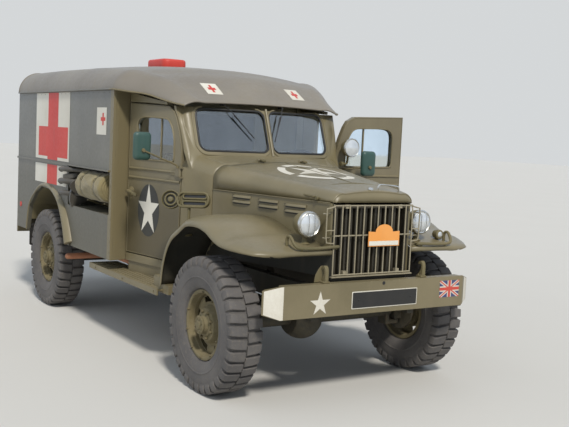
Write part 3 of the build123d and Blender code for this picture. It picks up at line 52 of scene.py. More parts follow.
# Stations of the vehicle, in metres, as in the frame
FRONT_Y = -2.47
REAR_Y = 2.47
AXLE_F = FRONT_Y + 0.628
AXLE_R = AXLE_F + 3.073
BODY_REAR = AXLE_R + 0.84
NOSE_Y = FRONT_Y + 0.078
HOOD_REAR = AXLE_F + 0.545
DOOR_FRONT = AXLE_F + 0.822
DOOR_LENGTH = 0.68
BODY_FRONT = AXLE_F + 1.47
NOSE_HALF = 0.318
HOOD_REAR_HALF = 0.571
CAB_FRONT_HALF = 0.685
CAB_REAR_HALF = 0.808
BODY_HALF = 0.95
BELT_LOW, BELT_HIGH, ROOF_EDGE = 1.301, 1.345, 1.94
RECESS_FRONT = BODY_FRONT + 0.045
RECESS_WALL = -BODY_HALF + 0.26
CAB_FLOOR = 0.768
TRACK = 1.645
AXLE_Z = 0.44
TYRE_HALF = 0.117
DOOR_TAPER = asin((CAB_REAR_HALF - CAB_FRONT_HALF) / DOOR_LENGTH)
DOOR_REAR = DOOR_FRONT + DOOR_LENGTH * cos(DOOR_TAPER)
LEFT_DOOR_OPEN = radians(80.0)
HINGE = Vector((CAB_FRONT_HALF + 0.008, DOOR_FRONT + 0.006, 0.0))


def new_object(name, data):
    """An object put in the scene."""
    made = bpy.data.objects.new(name, data)
    bpy.context.scene.collection.objects.link(made)
    return made


def around(count):
    """Angles of equal steps round a circle."""
    return [2 * pi * k / count for k in range(count)]


def mm(*points):
    """Points or profiles given in millimetres."""
    return [tuple(value / 1000 for value in point) for point in points]


def at(base, *points):
    """Points given in millimetres from a base point in metres."""
    return [tuple(b + value / 1000 for b, value in zip(base, point)) for point in points]


# Camera, matched to the photograph
CAMERA_PLACE = (-3.5297, -6.7654, 1.6767)
CAMERA_TURNS = (33.1, -5.15, 2.71)
FOCAL_LENGTH = 56.12


def place_camera():
    yaw, pitch, roll = (radians(turn) for turn in CAMERA_TURNS)
    ahead = Vector((sin(yaw) * cos(pitch), cos(yaw) * cos(pitch), sin(pitch)))
    level = Vector((cos(yaw), -sin(yaw), 0.0))
    above = level.cross(ahead)
    right = level * cos(roll) + above * sin(roll)
    up = above * cos(roll) - level * sin(roll)
    data = bpy.data.cameras.new("camera")
    data.lens = FOCAL_LENGTH
    data.sensor_width = 36.0
    data.clip_end = 200.0
    camera = new_object("camera", data)
    turn = Matrix((right, up, -ahead)).transposed().to_4x4()
    camera.matrix_world = Matrix.Translation(CAMERA_PLACE) @ turn
    bpy.context.scene.camera = camera


place_camera()


# Materials
def screen_colour(r, g, b):
    """Linear colour of an 8-bit screen colour."""
    linear = []
    for value in (r, g, b):
        c = value / 255.0
        linear.append(c / 12.92 if c <= 0.04045 else ((c + 0.055) / 1.055) ** 2.4)
    return (*linear, 1.0)


class Nodes:
    """Node tree of one material, built by short calls."""

    def __init__(self, name):
        self.material = bpy.data.materials.new(name)
        self.material.use_nodes = True
        self.tree = self.material.node_tree
        self.shader = self.tree.nodes["Principled BSDF"]
        self.place = self.add("TexCoord").outputs["Object"]

    def add(self, kind, **values):
        """A node: capitalised names are its inputs, the others its settings."""
        node = self.tree.nodes.new("ShaderNode" + kind)
        for key, value in values.items():
            if key[0].isupper():
                self.feed(node.inputs[key.replace("_", " ")], value)
            else:
                setattr(node, key, value)
        return node

    def link(self, a, b):
        self.tree.links.new(a, b)

    def feed(self, socket, value):
        """Give a socket another's output, a number, a vector, or a colour of three 8-bit numbers."""
        if isinstance(value, bpy.types.NodeSocket):
            self.link(value, socket)
        elif socket.type == "RGBA":
            socket.default_value = screen_colour(*value)
        else:
            socket.default_value = value

    def noise(self, scale, detail=4.0, rough=0.55, stretch=(1, 1, 1)):
        mapping = self.add("Mapping", Scale=stretch, Vector=self.place)
        texture = self.add("TexNoise", Scale=scale, Detail=detail, Roughness=rough,
                           Vector=mapping.outputs["Vector"])
        return texture.outputs["Fac"]

    def bands(self, direction, scale):
        wave = self.add("TexWave", wave_type="BANDS", bands_direction=direction, Scale=scale,
                        Vector=self.place)
        return wave.outputs["Fac"]

    def ramp(self, value, low, high, to_low=0.0, to_high=1.0):
        node = self.add("MapRange", From_Min=low, From_Max=high, To_Min=to_low, To_Max=to_high, Value=value)
        return node.outputs["Result"]

    def maths(self, kind, a, b):
        node = self.add("Math", operation=kind)
        self.feed(node.inputs[0], a)
        self.feed(node.inputs[1], b)
        return node.outputs["Value"]

    def mix(self, share, a, b):
        return self.add("Mix", data_type="RGBA", Factor=share, A=a, B=b).outputs["Result"]

    def height(self, axis="Z"):
        return self.add("SeparateXYZ", Vector=self.place).outputs[axis]

    def normal(self):
        return self.add("NewGeometry").outputs["Normal"]

    def upward(self):
        """How far the surface faces up, 0 to 1."""
        return self.add("SeparateXYZ", Vector=self.normal()).outputs["Z"]

    def edges(self, radius):
        """Share that is 1 on sharp outer edges, and the rounded normal."""
        rounded = self.add("Bevel", samples=3, Radius=radius).outputs["Normal"]
        dot = self.add("VectorMath", operation="DOT_PRODUCT")
        self.link(rounded, dot.inputs[0])
        self.link(self.normal(), dot.inputs[1])
        return self.ramp(dot.outputs["Value"], 0.98, 0.85), rounded

    def bump(self, value, strength, distance=0.001, normal=None):
        node = self.add("Bump", Strength=strength, Distance=distance, Height=value)
        if normal is not None:
            self.link(normal, node.inputs["Normal"])
        return node.outputs["Normal"]

    def finish(self, colour, rough, normal=None, **sockets):
        self.feed(self.shader.inputs["Base Color"], colour)
        self.feed(self.shader.inputs["Roughness"], rough)
        if normal is not None:
            self.link(normal, self.shader.inputs["Normal"])
        for key, value in sockets.items():
            self.feed(self.shader.inputs[key.replace("_", " ")], value)
        return self.material


def paint(name, colour, pale, worn, dust, roughness=0.36, edge=0.004, dust_top=1.0, dents=0.25,
          shade_below=None, ahead=None):
    """Brushed matt paint on steel: blotches, streaks, dust that settles low, chipped edges.

    shade_below gives (height, colour) for the part under that height, a painted shade; ahead gives (station,
    colour) for the part in front of that station, a painted sunlit tone.
    """
    n = Nodes(name)
    blotch = n.noise(2.2, 5.0)
    fine = n.noise(38.0, 6.0, 0.7)
    tone = n.mix(n.ramp(blotch, 0.35, 0.68), colour, pale)
    # A darker colour under a height: painted shade on the lower part.
    if shade_below is not None:
        top, other = shade_below
        tone = n.mix(n.ramp(n.height(), top, top - 0.3), tone, other)
    # Another colour in front of a station: a painted sunlit tone.
    if ahead is not None:
        station, other = ahead
        tone = n.mix(n.ramp(n.height("Y"), station, station - 0.002), tone, other)
    streak = n.noise(9.0, 4.0, 0.6, (1.0, 1.0, 0.12))
    tone = n.mix(n.ramp(streak, 0.52, 0.78, 0.0, 0.3), tone, dust)
    low = n.ramp(n.height(), dust_top, 0.25, 0.0, 0.75)
    tone = n.mix(n.maths("MULTIPLY", low, n.ramp(fine, 0.3, 0.7)), tone, dust)
    settled = n.ramp(n.upward(), 0.6, 1.0, 0.0, 0.35)
    tone = n.mix(n.maths("MULTIPLY", settled, n.ramp(blotch, 0.3, 0.7)), tone, dust)
    edge_share, rounded = n.edges(edge)
    chips = n.maths("MULTIPLY", edge_share, n.ramp(fine, 0.46, 0.6, 0.0, 0.8))
    tone = n.mix(chips, tone, worn)
    rough = n.maths("ADD", n.ramp(fine, 0.25, 0.75, roughness - 0.06, roughness + 0.14),
                    n.ramp(low, 0.0, 1.0, 0.0, 0.2))
    normal = n.bump(n.noise(3.1, 3.0), dents, 0.004, rounded)
    normal = n.bump(fine, 0.1, 0.0012, normal)
    return n.finish(tone, rough, normal)


DUST = (132, 121, 96)
BARE = (92, 78, 60)
RUST = (104, 62, 38)

olive = paint("olive_paint", (110, 102, 76), (127, 118, 91), (128, 118, 88), DUST)
# Body paint: the grey-olive base is painted shade, the shaded, sky-lit tone of the sides put into the colour.
# Under 1.45 m it is darker, which is more painted shade. In front of the body's front corner it turns warmer
# and lighter, a painted sunlit tone on the forward-facing post.
shaded_body_olive = paint("body_paint_shaded", (104, 102, 93), (116, 114, 104), (122, 115, 94), (110, 104, 88),
                   shade_below=(1.45, (90, 88, 77)), ahead=(BODY_FRONT + 0.062, (122, 112, 84)))
# Door paint: under 1.36 m it turns darker, which is painted shade on the lower part of the doors.
door_olive_low_shade = paint("door_paint_low_shade", (114, 106, 84), (126, 118, 94), (130, 120, 92), (106, 97, 76),
                   shade_below=(1.36, (88, 80, 58)))
# Roof paint: its lighter, greyer olive is a painted reflection of the sky on the top.
roof_olive_sky_sheen = paint("roof_paint_sky_sheen", (122, 116, 106), (134, 128, 118), (142, 134, 116), DUST, 0.46)
# Dark olive: on the radiator shell it is painted shade over the slats behind the guard; on the engine it is
# the engine's dark paint.
dark_and_shaded_core = paint("core_paint_and_shade", (50, 46, 36), (60, 55, 42), (74, 66, 50), (86, 78, 60), 0.6, 0.002)
# Grille guard paint: its pale olive is partly dust and partly a painted highlight on the thin rods.
guard_dust_and_highlight = paint("guard_paint_dust_and_highlight", (146, 138, 116), (164, 156, 134), (176, 168, 146), (150, 142, 120), 0.34)
olive_worn = paint("olive_worn", (95, 89, 60), (116, 106, 74), BARE, DUST, 0.6, 0.006)
dark = paint("dark_paint", (42, 42, 36), (56, 54, 45), RUST, (92, 84, 66), 0.62, 0.004, 0.9)
green = paint("mirror_paint", (44, 74, 68), (54, 84, 76), (84, 96, 88), (96, 106, 96), 0.36)
red = paint("red_paint", (196, 52, 44), (208, 70, 58), (120, 40, 34), (168, 96, 84), 0.48)
white = paint("white_paint", (226, 224, 214), (214, 210, 198), (150, 144, 122), (184, 176, 156), 0.55)
steel = paint("bare_steel", (186, 120, 84), (150, 98, 72), (150, 140, 130), (120, 100, 80), 0.5)


def rubber():
    n = Nodes("tyre_rubber")
    fine = n.noise(60.0, 5.0, 0.65)
    broad = n.noise(5.0, 4.0)
    tone = n.mix(n.ramp(broad, 0.3, 0.7), (82, 80, 80), (104, 101, 99))
    tone = n.mix(n.ramp(fine, 0.5, 0.72, 0.0, 0.45), tone, (126, 119, 108))
    edge_share, rounded = n.edges(0.005)
    tone = n.mix(n.maths("MULTIPLY", edge_share, 0.35), tone, (118, 112, 102))
    normal = n.bump(fine, 0.25, 0.0015, rounded)
    return n.finish(tone, n.ramp(fine, 0.3, 0.7, 0.72, 0.92), normal)


def cloth(name, colour, pale, weave=520.0, rough=0.9):
    n = Nodes(name)
    blotch = n.noise(7.0, 4.0)
    tone = n.mix(n.ramp(blotch, 0.35, 0.68), colour, pale)
    threads = n.maths("MAXIMUM", n.bands("Y", weave / 6.28), n.bands("Z", weave / 6.28))
    tone = n.mix(n.ramp(threads, 0.2, 0.9, 0.25, 0.0), tone, (60, 54, 38))
    soft = n.noise(30.0, 5.0, 0.7)
    tone = n.mix(n.ramp(soft, 0.55, 0.8, 0.0, 0.4), tone, (120, 110, 84))
    normal = n.bump(threads, 0.35, 0.0006)
    normal = n.bump(soft, 0.2, 0.002, normal)
    return n.finish(tone, rough, normal, Sheen_Weight=0.25)


def clear_glass():
    n = Nodes("window_glass")
    smear = n.noise(3.0, 4.0, 0.6, (1.0, 1.0, 0.5))
    tone = n.mix(n.ramp(smear, 0.35, 0.75), (232, 240, 238), (206, 216, 214))
    return n.finish(tone, n.ramp(smear, 0.4, 0.8, 0.0, 0.05), None, Transmission_Weight=1.0,
                    IOR=2.0, Alpha=1.0)


def lamp_glass():
    n = Nodes("lamp_glass")
    normal = n.bump(n.bands("X", 38.0), 0.5, 0.002)
    tone = n.mix(n.ramp(n.noise(14.0), 0.3, 0.7), (226, 230, 232), (196, 202, 206))
    return n.finish(tone, 0.08, normal, Metallic=0.35, Coat_Weight=1.0)


def metal(name, colour, other, rough):
    n = Nodes(name)
    fine = n.noise(24.0, 5.0, 0.6)
    tone = n.mix(n.ramp(fine, 0.35, 0.7), colour, other)
    return n.finish(tone, n.ramp(fine, 0.3, 0.7, rough, rough + 0.2),
                    n.bump(fine, 0.1, 0.001), Metallic=0.9)


tyre_rubber = rubber()
glass = clear_glass()
lens = lamp_glass()
bright = metal("bright_metal", (200, 200, 196), (168, 164, 152), 0.18)
canvas = cloth("canvas", (122, 112, 78), (146, 134, 96))
seat_cloth = cloth("seat_cover", (82, 78, 54), (98, 92, 66), 420.0)
orange = paint("orange_plaque", (238, 160, 78), (242, 172, 98), (196, 140, 90), (208, 160, 110), 0.4)
black = paint("black_paint", (24, 24, 24), (34, 34, 33), (80, 80, 76), (62, 58, 52), 0.45)
# Dark disc under the door stars: partly the star's ground and partly a painted shadow of the siren on the
# door.
star_ground = paint("star_ground", (50, 50, 46), (58, 58, 54), (84, 80, 66), (88, 84, 70), 0.55)
mirror_glass = metal("mirror_glass", (186, 190, 192), (172, 178, 180), 0.04)
strap_cloth = cloth("strap_cloth", (96, 88, 60), (112, 104, 74), 700.0)
blue = paint("blue_paint", (44, 52, 108), (56, 64, 118), (90, 92, 120), (104, 104, 112), 0.5)
tool_steel = paint("tool_steel", (62, 60, 56), (84, 80, 72), (132, 126, 114), (110, 102, 86), 0.42)
wood = paint("tool_wood", (92, 84, 58), (112, 98, 66), (134, 112, 78), DUST, 0.7)

FINISHES = {
    "olive_paint": olive, "dark_paint": dark, "tyre_rubber": tyre_rubber, "window_glass": glass,
    "canvas": canvas, "seat_cover": seat_cloth, "bare_steel": steel, "lamp_metal": olive_worn,
    "red_paint": red,
}
OWN_FINISH = {
    "body_side_left": shaded_body_olive, "body_side_right": shaded_body_olive, "rear_wall": shaded_body_olive,
    # The radiator shell takes the dark core paint: painted shade over the slats behind the guard.
    "radiator_shell": dark_and_shaded_core, "rear_door_left": shaded_body_olive, "rear_door_right": shaded_body_olive,
    "door_left": door_olive_low_shade, "door_right": door_olive_low_shade,
}
for entry in frame["record"]["subparts"]:
    mesh = nodes[entry["node"]].data
    mesh.materials.clear()
    mesh.materials.append(OWN_FINISH.get(entry["node"], FINISHES[entry["material_slot"]]))


# Shapes: meshes built in metres, in the vehicle's frame
SIDES = ((1, "left"), (-1, "right"))
LEFT, AFT, UP = (1, 0, 0), (0, 1, 0), (0, 0, 1)


def shade_smooth(mesh, angle):
    """Smooth shading, with edges kept sharp from an angle in degrees."""
    mesh.polygons.foreach_set("use_smooth", [True] * len(mesh.polygons))
    mesh.set_sharp_from_angle(angle=radians(angle))


def round_edges(piece, width, segments, limit):
    rounding = piece.modifiers.new("rounding", "BEVEL")
    rounding.width = width
    rounding.segments = segments
    rounding.limit_method = "ANGLE"
    rounding.angle_limit = radians(limit)


class Shape:
    """A mesh under construction."""

    def __init__(self, name):
        self.name = name
        self.bm = bmesh.new()

    def block(self, low, high):
        low, high = Vector(low), Vector(high)
        made = bmesh.ops.create_cube(self.bm, size=1.0)["verts"]
        grow = Matrix.Diagonal((*(high - low), 1.0))
        place = Matrix.Translation((low + high) / 2) @ grow
        bmesh.ops.transform(self.bm, matrix=place, verts=made)
        return self

    def skin(self, loops, ends=True, closed=False):
        """Faces over rings of points that all have the same count."""
        rows = [[self.bm.verts.new(p) for p in loop] for loop in loops]
        count = len(rows[0])
        after = rows[1:] + ([rows[0]] if closed else [])
        for a, b in zip(rows, after):
            for i in range(count):
                j = (i + 1) % count
                self.bm.faces.new((a[i], a[j], b[j], b[i]))
        if ends and not closed:
            self.bm.faces.new(list(reversed(rows[0])))
            self.bm.faces.new(rows[-1])
        return self

    def grid(self, rows):
        """Open sheet over rows of points."""
        made = [[self.bm.verts.new(p) for p in row] for row in rows]
        for a, b in zip(made, made[1:]):
            for i in range(len(a) - 1):
                self.bm.faces.new((a[i], a[i + 1], b[i + 1], b[i]))
        return self

    def ring(self, centre, axis, radius, sides):
        side = axis.orthogonal().normalized()
        other = axis.cross(side).normalized()
        return [centre + side * (radius * cos(t)) + other * (radius * sin(t)) for t in around(sides)]

    def rod(self, start, end, radius, end_radius=None, sides=16):
        start, end = Vector(start), Vector(end)
        axis = (end - start).normalized()
        last = radius if end_radius is None else end_radius
        return self.skin([self.ring(start, axis, radius, sides), self.ring(end, axis, last, sides)])

    def tube(self, points, radius, sides=10, closed=False):
        """Round bar along a line of points, mitred at each."""
        points = [Vector(p) for p in points]
        count = len(points)
        loops = []
        side = None
        for i, point in enumerate(points):
            before = points[(i - 1) % count] if (closed or i) else None
            later = points[(i + 1) % count] if (closed or i < count - 1) else None
            ins = (point - before).normalized() if before is not None else (later - point).normalized()
            outs = (later - point).normalized() if later is not None else ins
            axis = (ins + outs).normalized()
            side = axis.orthogonal() if side is None else side - axis * side.dot(axis)
            side.normalize()
            other = axis.cross(side)
            loops.append([point + side * (radius * cos(t)) + other * (radius * sin(t))
                          for t in around(sides)])
        return self.skin(loops, True, closed)

    def bead(self, outline, place, depth, radius, sides=6):
        """Round bar along a closed outline of pairs, at one depth."""
        return self.tube([place(u, v, depth) for u, v in outline], radius, sides, True)

    def spin(self, profile, centre, axis, sides=48):
        """Turned form: profile of (distance along the axis, radius)."""
        centre, axis = Vector(centre), Vector(axis).normalized()
        loops = [self.ring(centre + axis * along, axis, max(radius, 1e-5), sides)
                 for along, radius in profile]
        return self.skin(loops)

    def prism(self, outline, near, far, place):
        """Outline of (a, b) pairs between two depths; place maps (a, b, depth) to a point."""
        return self.skin([[place(u, v, depth) for u, v in outline] for depth in (near, far)])

    def finish(self, material, bevel=0.0, body="vehicle", angle=35.0, stands_for=(), thick=0.0,
               slot=None, lining=None):
        """Make the piece, let it ride its body, and hide the CAD nodes that it stands for."""
        bmesh.ops.remove_doubles(self.bm, verts=self.bm.verts, dist=2e-5)
        bmesh.ops.recalc_face_normals(self.bm, faces=self.bm.faces)
        mesh = bpy.data.meshes.new(self.name)
        self.bm.to_mesh(mesh)
        self.bm.free()
        mesh.materials.append(material)
        shade_smooth(mesh, angle)
        piece = new_object(self.name, mesh)
        if thick:
            shell = piece.modifiers.new("shell", "SOLIDIFY")
            shell.thickness = thick
            shell.offset = -1.0
            if lining is not None:
                mesh.materials.append(lining)
                shell.material_offset = 1
        if bevel:
            round_edges(piece, bevel, 2, 40.0)
        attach(piece, body)
        if stands_for:
            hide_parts(*stands_for)
        return piece


def along_x(u, v, depth):
    return Vector((depth, u, v))


def along_y(u, v, depth):
    return Vector((u, depth, v))


def along_z(u, v, depth):
    return Vector((u, v, depth))


def soften(points, steps=6, closed=False):
    """Smooth line through points, by Catmull-Rom pieces."""
    points = [Vector(p) for p in points]
    if closed:
        line = [points[-1], *points, points[0], points[1]]
    else:
        line = [2 * points[0] - points[1], *points, 2 * points[-1] - points[-2]]
    made = []
    for a, b, c, d in zip(line, line[1:], line[2:], line[3:]):
        for k in range(steps):
            t = k / steps
            bend, twist = 2 * a - 5 * b + 4 * c - d, 3 * b - a - 3 * c + d
            made.append(0.5 * (2 * b + (c - a) * t + bend * t * t + twist * t * t * t))
    return made if closed else [*made, points[-1]]


def soft_outline(points, steps=4):
    """Smooth closed outline through pairs."""
    return [(p.x, p.y) for p in soften([(u, v, 0.0) for u, v in points], steps, True)]


def rounded_box(x0, x1, y0, y1, radius, steps=5):
    """Outline of a rectangle with round corners."""
    outline = []
    for cx, cy, start in ((x1 - radius, y1 - radius, 0), (x0 + radius, y1 - radius, 90),
                          (x0 + radius, y0 + radius, 180), (x1 - radius, y0 + radius, 270)):
        for k in range(steps + 1):
            t = radians(start + 90 * k / steps)
            outline.append((cx + radius * cos(t), cy + radius * sin(t)))
    return outline


# Tyres: carcass with ribs on the wall, and bar lugs that meet half a step apart
LUGS = 34
LUG_TURN = 2 * pi / LUGS


def turned(profile, count):
    """Rings of a profile of (x, radius) turned about the wheel's axle."""
    return [[Vector((x, r * cos(t), r * sin(t))) for x, r in profile] for t in around(count)]


def tyre_mesh():
    shape = Shape("tyre_detail")
    wall = mm((-70, 229), (-92, 238), (-108, 262), (-113.5, 300), (-116.5, 302), (-116.8, 310),
              (-114.5, 313), (-115.5, 345), (-112, 378), (-104, 402), (-86, 416), (0, 422.5))
    profile = wall + [(-x, r) for x, r in reversed(wall[:-1])] + [(0.062, 0.222), (-0.062, 0.222)]
    shape.skin(turned(profile, 102), False, True)
    # Each: distance from the middle, top radius, base radius
    path = mm((3, 439.5, 415), (55, 439.5, 412), (92, 438.5, 402), (107.5, 430, 392), (115, 412, 384),
              (116.5, 388, 372))
    for side in (-1, 1):
        for k in range(LUGS):
            middle = (k + (0.5 if side > 0 else 0.0)) * LUG_TURN
            loops = []
            for x, top, base in path:
                half = LUG_TURN * (0.37 if x < 0.06 else 0.34)
                lean = LUG_TURN * 0.1 * (x / 0.1)
                ring = []
                for radius, share in ((base, -1.12), (top, -1.0), (top, 1.0), (base, 1.12)):
                    t = middle + half * share + lean
                    inset = 0.0 if radius == top else 0.006 * (x > 0.1)
                    ring.append(Vector((side * (x - inset), radius * cos(t), radius * sin(t))))
                loops.append(ring)
            shape.skin(loops)
    return shape


def place_wheel(name, centre, body, tyre_data, wheel_data, side):
    for data, node in ((tyre_data, "tyre_" + name), (wheel_data, "wheel_" + name)):
        piece = new_object(node + "_detail", data)
        if "tyre" in node:
            round_edges(piece, 0.0028, 1, 50.0)
        turn = Matrix.Identity(4) if side > 0 else Matrix.Rotation(pi, 4, "Z")
        piece.matrix_world = Matrix.Translation(centre) @ turn
        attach(piece, body)
        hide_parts({"tyre_spare": "spare_tyre", "wheel_spare": "spare_wheel"}.get(node, node))
        "tyre_rubber" if "tyre" in node else "olive_paint"


def wheel_mesh():
    """Disc wheel seen from outside at +X: rim with a bolted ring, windows, flange and hub."""
    shape = Shape("wheel_detail")
    rim = mm((-82, 203), (-82, 226), (-76, 229), (-72, 222), (-66, 215.5), (64, 215.5), (72, 222),
             (76, 229), (82, 226), (83, 212), (78, 204.5), (44, 200.5), (40, 197.5), (-60, 197.5))
    turns = 72
    shape.skin(turned(rim, turns), False, True)
    dish = mm((12, 198.5), (20, 190), (24, 182), (26, 164), (23, 146), (18, 136), (22, 126), (40, 116),
              (56, 106), (60, 98), (60, 60))
    windows = 5
    inner_dish = [(x - 0.007, r) for x, r in dish]
    made = [list(zip(*faces)) for faces in zip(turned(dish, turns), turned(inner_dish, turns))]
    per = turns // windows

    def face(*points):
        shape.bm.faces.new([shape.bm.verts.new(p) for p in points])

    for k in range(turns):
        now, then = made[k], made[(k + 1) % turns]
        spot = k % per if k < per * windows else 0
        for i in range(len(dish) - 1):
            open_here = 3 <= spot < per - 4
            if open_here and i in (2, 3):
                continue
            for layer in (0, 1):
                face(*(v[layer] for v in (now[i], then[i], then[i + 1], now[i + 1])))
            if open_here and i in (1, 4):
                row = i + 1 if i == 1 else i
                face(now[row][0], then[row][0], then[row][1], now[row][1])
            if i in (2, 3) and spot in (2, per - 4):
                column = then if spot == 2 else now
                face(column[i][0], column[i + 1][0], column[i + 1][1], column[i][1])
    drum = mm((-40, 60), (-40, 130), (-10, 134), (4, 128), (8, 60))
    shape.spin(drum, (0, 0, 0), LEFT, 48)
    hub = mm((55, 75), (64, 78), (66, 74), (70, 60), (94, 54), (98, 58), (106, 58), (109, 54), (110, 30),
             (116, 26), (117, 0))
    shape.spin(hub, (0, 0, 0), LEFT, 40)
    # Each ring of bolts: count, radius, base, top, bolt's radius
    bolt_rings = (
        (8, 0.088, 0.058, 0.076, 0.0105),
        (10, 0.2105, 0.07, 0.09, 0.0075),
        (8, 0.045, 0.106, 0.114, 0.006),
    )
    for count, radius, low, high, size in bolt_rings:
        for k in range(count):
            t = 2 * pi * (k + 0.5) / count
            y, z = radius * cos(t), radius * sin(t)
            shape.rod((low, y, z), (high, y, z), size, size * 0.92, 6)
            shape.rod((high - 0.001, y, z), (high + 0.004, y, z), size * 0.5, size * 0.4, 8)
    valve = mm((30, 150, 138), (50, 146, 134), (62, 140, 128))
    shape.tube(valve, 0.004, 8)
    return shape


def make_wheels():
    tyre = tyre_mesh().finish(tyre_rubber, angle=30.0)
    wheel = wheel_mesh().finish(olive_worn, angle=30.0)
    tyre_data, wheel_data = tyre.data, wheel.data
    bpy.data.objects.remove(tyre)
    bpy.data.objects.remove(wheel)
    for side, word in SIDES:
        for end, y in (("front_", AXLE_F), ("rear_", AXLE_R)):
            place_wheel(end + word, Vector((side * TRACK / 2, y, AXLE_Z)), "wheel_" + end + word, tyre_data,
                        wheel_data, side)
    spare = Vector((BODY_HALF - 0.25 + TYRE_HALF + 0.016, BODY_FRONT + 0.55, 1.11))
    place_wheel("spare", spare, "vehicle", tyre_data, wheel_data, 1)
    carrier = Shape("spare_carrier")
    carrier.spin(mm((-132.5, 100), (-120, 100), (-118, 70), (-40, 66)), spare, LEFT, 32)
    carrier.finish(dark, 0.002)


make_wheels()


# Sections of the hood, cowl and roof: upright side, round shoulder, arched top
def crown_row(y, half, low, shoulder, crown, corner, count=9, bulge=0.72):
    """Points over the section from the left bottom to the right bottom."""
    knee, knee_z = half - corner, crown - (crown - shoulder) * 0.27
    mid = (half - corner * (1 - bulge), shoulder + (knee_z - shoulder) * bulge)

    def arc(a, b, c, steps):
        """Points on the circle through a, b and c, from a to c."""
        (ax, az), (bx, bz), (cx, cz) = a, b, c
        d = 2 * (ax * (bz - cz) + bx * (cz - az) + cx * (az - bz))
        squares = [x * x + z * z for x, z in (a, b, c)]
        ux = sum(s * w for s, w in zip(squares, (bz - cz, cz - az, az - bz))) / d
        uz = sum(s * w for s, w in zip(squares, (cx - bx, ax - cx, bx - ax))) / d
        radius = hypot(ax - ux, az - uz)
        first, last = atan2(az - uz, ax - ux), atan2(cz - uz, cx - ux)
        if last - first > pi:
            last -= 2 * pi
        return [(ux + radius * cos(first + (last - first) * k / steps),
                 uz + radius * sin(first + (last - first) * k / steps)) for k in range(steps + 1)]

    corner_line = arc((half, shoulder), mid, (knee, knee_z), count)
    top = arc((knee, knee_z), (0.0, crown), (-knee, knee_z), count * 2)
    mirror = [(-x, z) for x, z in reversed(corner_line)]
    line = [(half, low), *corner_line, *top[1:-1], *mirror, (-half, low)]
    return [Vector((x, y, z)) for x, z in line]


def blend_rows(rows, steps):
    """Rows between the given rows, so that the surface runs smooth along the vehicle."""
    columns = [soften(column, steps) for column in zip(*rows)]
    return [list(row) for row in zip(*columns)]


HOOD_SLOPE = (HOOD_REAR_HALF - NOSE_HALF) / (HOOD_REAR - NOSE_Y)


def half_width(y):
    """Half width of the nose, the hood and the cab at a station."""
    if y < NOSE_Y:
        return NOSE_HALF
    if y < HOOD_REAR:
        return NOSE_HALF + HOOD_SLOPE * (y - NOSE_Y)
    return cab_half(y)


def cab_half(y):
    if y < DOOR_FRONT:
        return HOOD_REAR_HALF + (CAB_FRONT_HALF - HOOD_REAR_HALF) * (y - HOOD_REAR) / (DOOR_FRONT - HOOD_REAR)
    return CAB_FRONT_HALF + (y - DOOR_FRONT) * tan(DOOR_TAPER)


# Hood: one smooth lid over the CAD lid's sections
def make_hood():
    low, crown = 1.268, 1.466
    stations = (
        (NOSE_Y + 0.0, NOSE_HALF - 0.022, low, 1.271, 1.306, 0.072),
        (NOSE_Y + 0.012, NOSE_HALF - 0.01, low, 1.276, 1.328, 0.08),
        (NOSE_Y + 0.045, NOSE_HALF + 0.006, low, 1.284, 1.35, 0.092),
        (NOSE_Y + 0.36, NOSE_HALF + 0.08, low, 1.302, 1.388, 0.104),
        (NOSE_Y + 0.73, NOSE_HALF + 0.166, low, 1.326, 1.428, 0.118),
        (HOOD_REAR, HOOD_REAR_HALF, low, 1.354, crown, 0.13),
    )
    rows = [crown_row(*station) for station in stations]
    shape = Shape("hood_skin")
    shape.grid(blend_rows(rows, 5))
    front = rows[0]
    base = [Vector((p.x, p.y + 0.004, low)) for p in front]
    shape.grid([front, base])
    hood = shape.finish(olive, body="hood", stands_for=("hood",), thick=0.004, angle=60.0)
    under = Shape("hood_frame")
    for y in (-1.42, -1.8, -2.16):
        half = 0.3 + (y + 2.35) * 0.24
        top = 1.4 + (y + 1.8) * 0.09
        line = [(-half, y, top - 0.085), (-half * 0.7, y, top - 0.025), (0, y, top),
                (half * 0.7, y, top - 0.025), (half, y, top - 0.085)]
        under.tube(soften(line, 5), 0.011, 8)
    for x in (-0.18, 0.18):
        under.rod(*at((x, HOOD_REAR, crown), (-14, 0, 9), (14, 0, 9)), 0.009)
        under.block(*at((x, HOOD_REAR, crown), (-14, -30, 1), (14, -2, 12)))
    seam = [Vector((0.0, y, z + 0.0005)) for y, z in ((NOSE_Y + 0.03, 1.342), (NOSE_Y + 0.36, 1.388),
                                                      (NOSE_Y + 0.73, 1.428), (HOOD_REAR - 0.03, 1.462))]
    under.tube(soften(seam, 5), 0.0035, 8)
    for side in (-1, 1):
        y = NOSE_Y + 0.13
        x = side * 0.352
        under.rod((x, y, 1.285), (x + side * 0.016, y, 1.285), 0.011, 0.013)
        under.tube([(x - side * 0.004, y + 0.03, 1.293), (x + side * 0.018, y + 0.03, 1.293),
                    (x + side * 0.018, y + 0.15, 1.3), (x + side * 0.016, y + 0.15, 1.3)], 0.006)
    under.finish(olive_worn, 0.001, "hood")
    catch = Shape("hood_handle")
    catch.spin(mm((-4, 13), (4, 15), (12, 18), (20, 15), (24, 0)), (-0.02, NOSE_Y + 0.03, 1.34),
               (0, -0.25, 0.97), 20)
    catch.tube(soften(at((0, NOSE_Y, 0), (55, 52, 1340), (62, 46, 1372), (90, 44, 1379), (200, 44, 1370),
                         (225, 46, 1358), (230, 52, 1325)), 4), 0.0055, 10)
    catch.finish(bright, body="hood")
    return hood


hood = make_hood()


# Louvres stamped in the engine side panels, in three groups of two rows
def hood_side_point(side, y, z, out):
    half = NOSE_HALF + HOOD_SLOPE * (y - NOSE_Y)
    turn = atan(HOOD_SLOPE)
    return Vector((side * (half + out * cos(turn)), y - out * sin(turn), z))


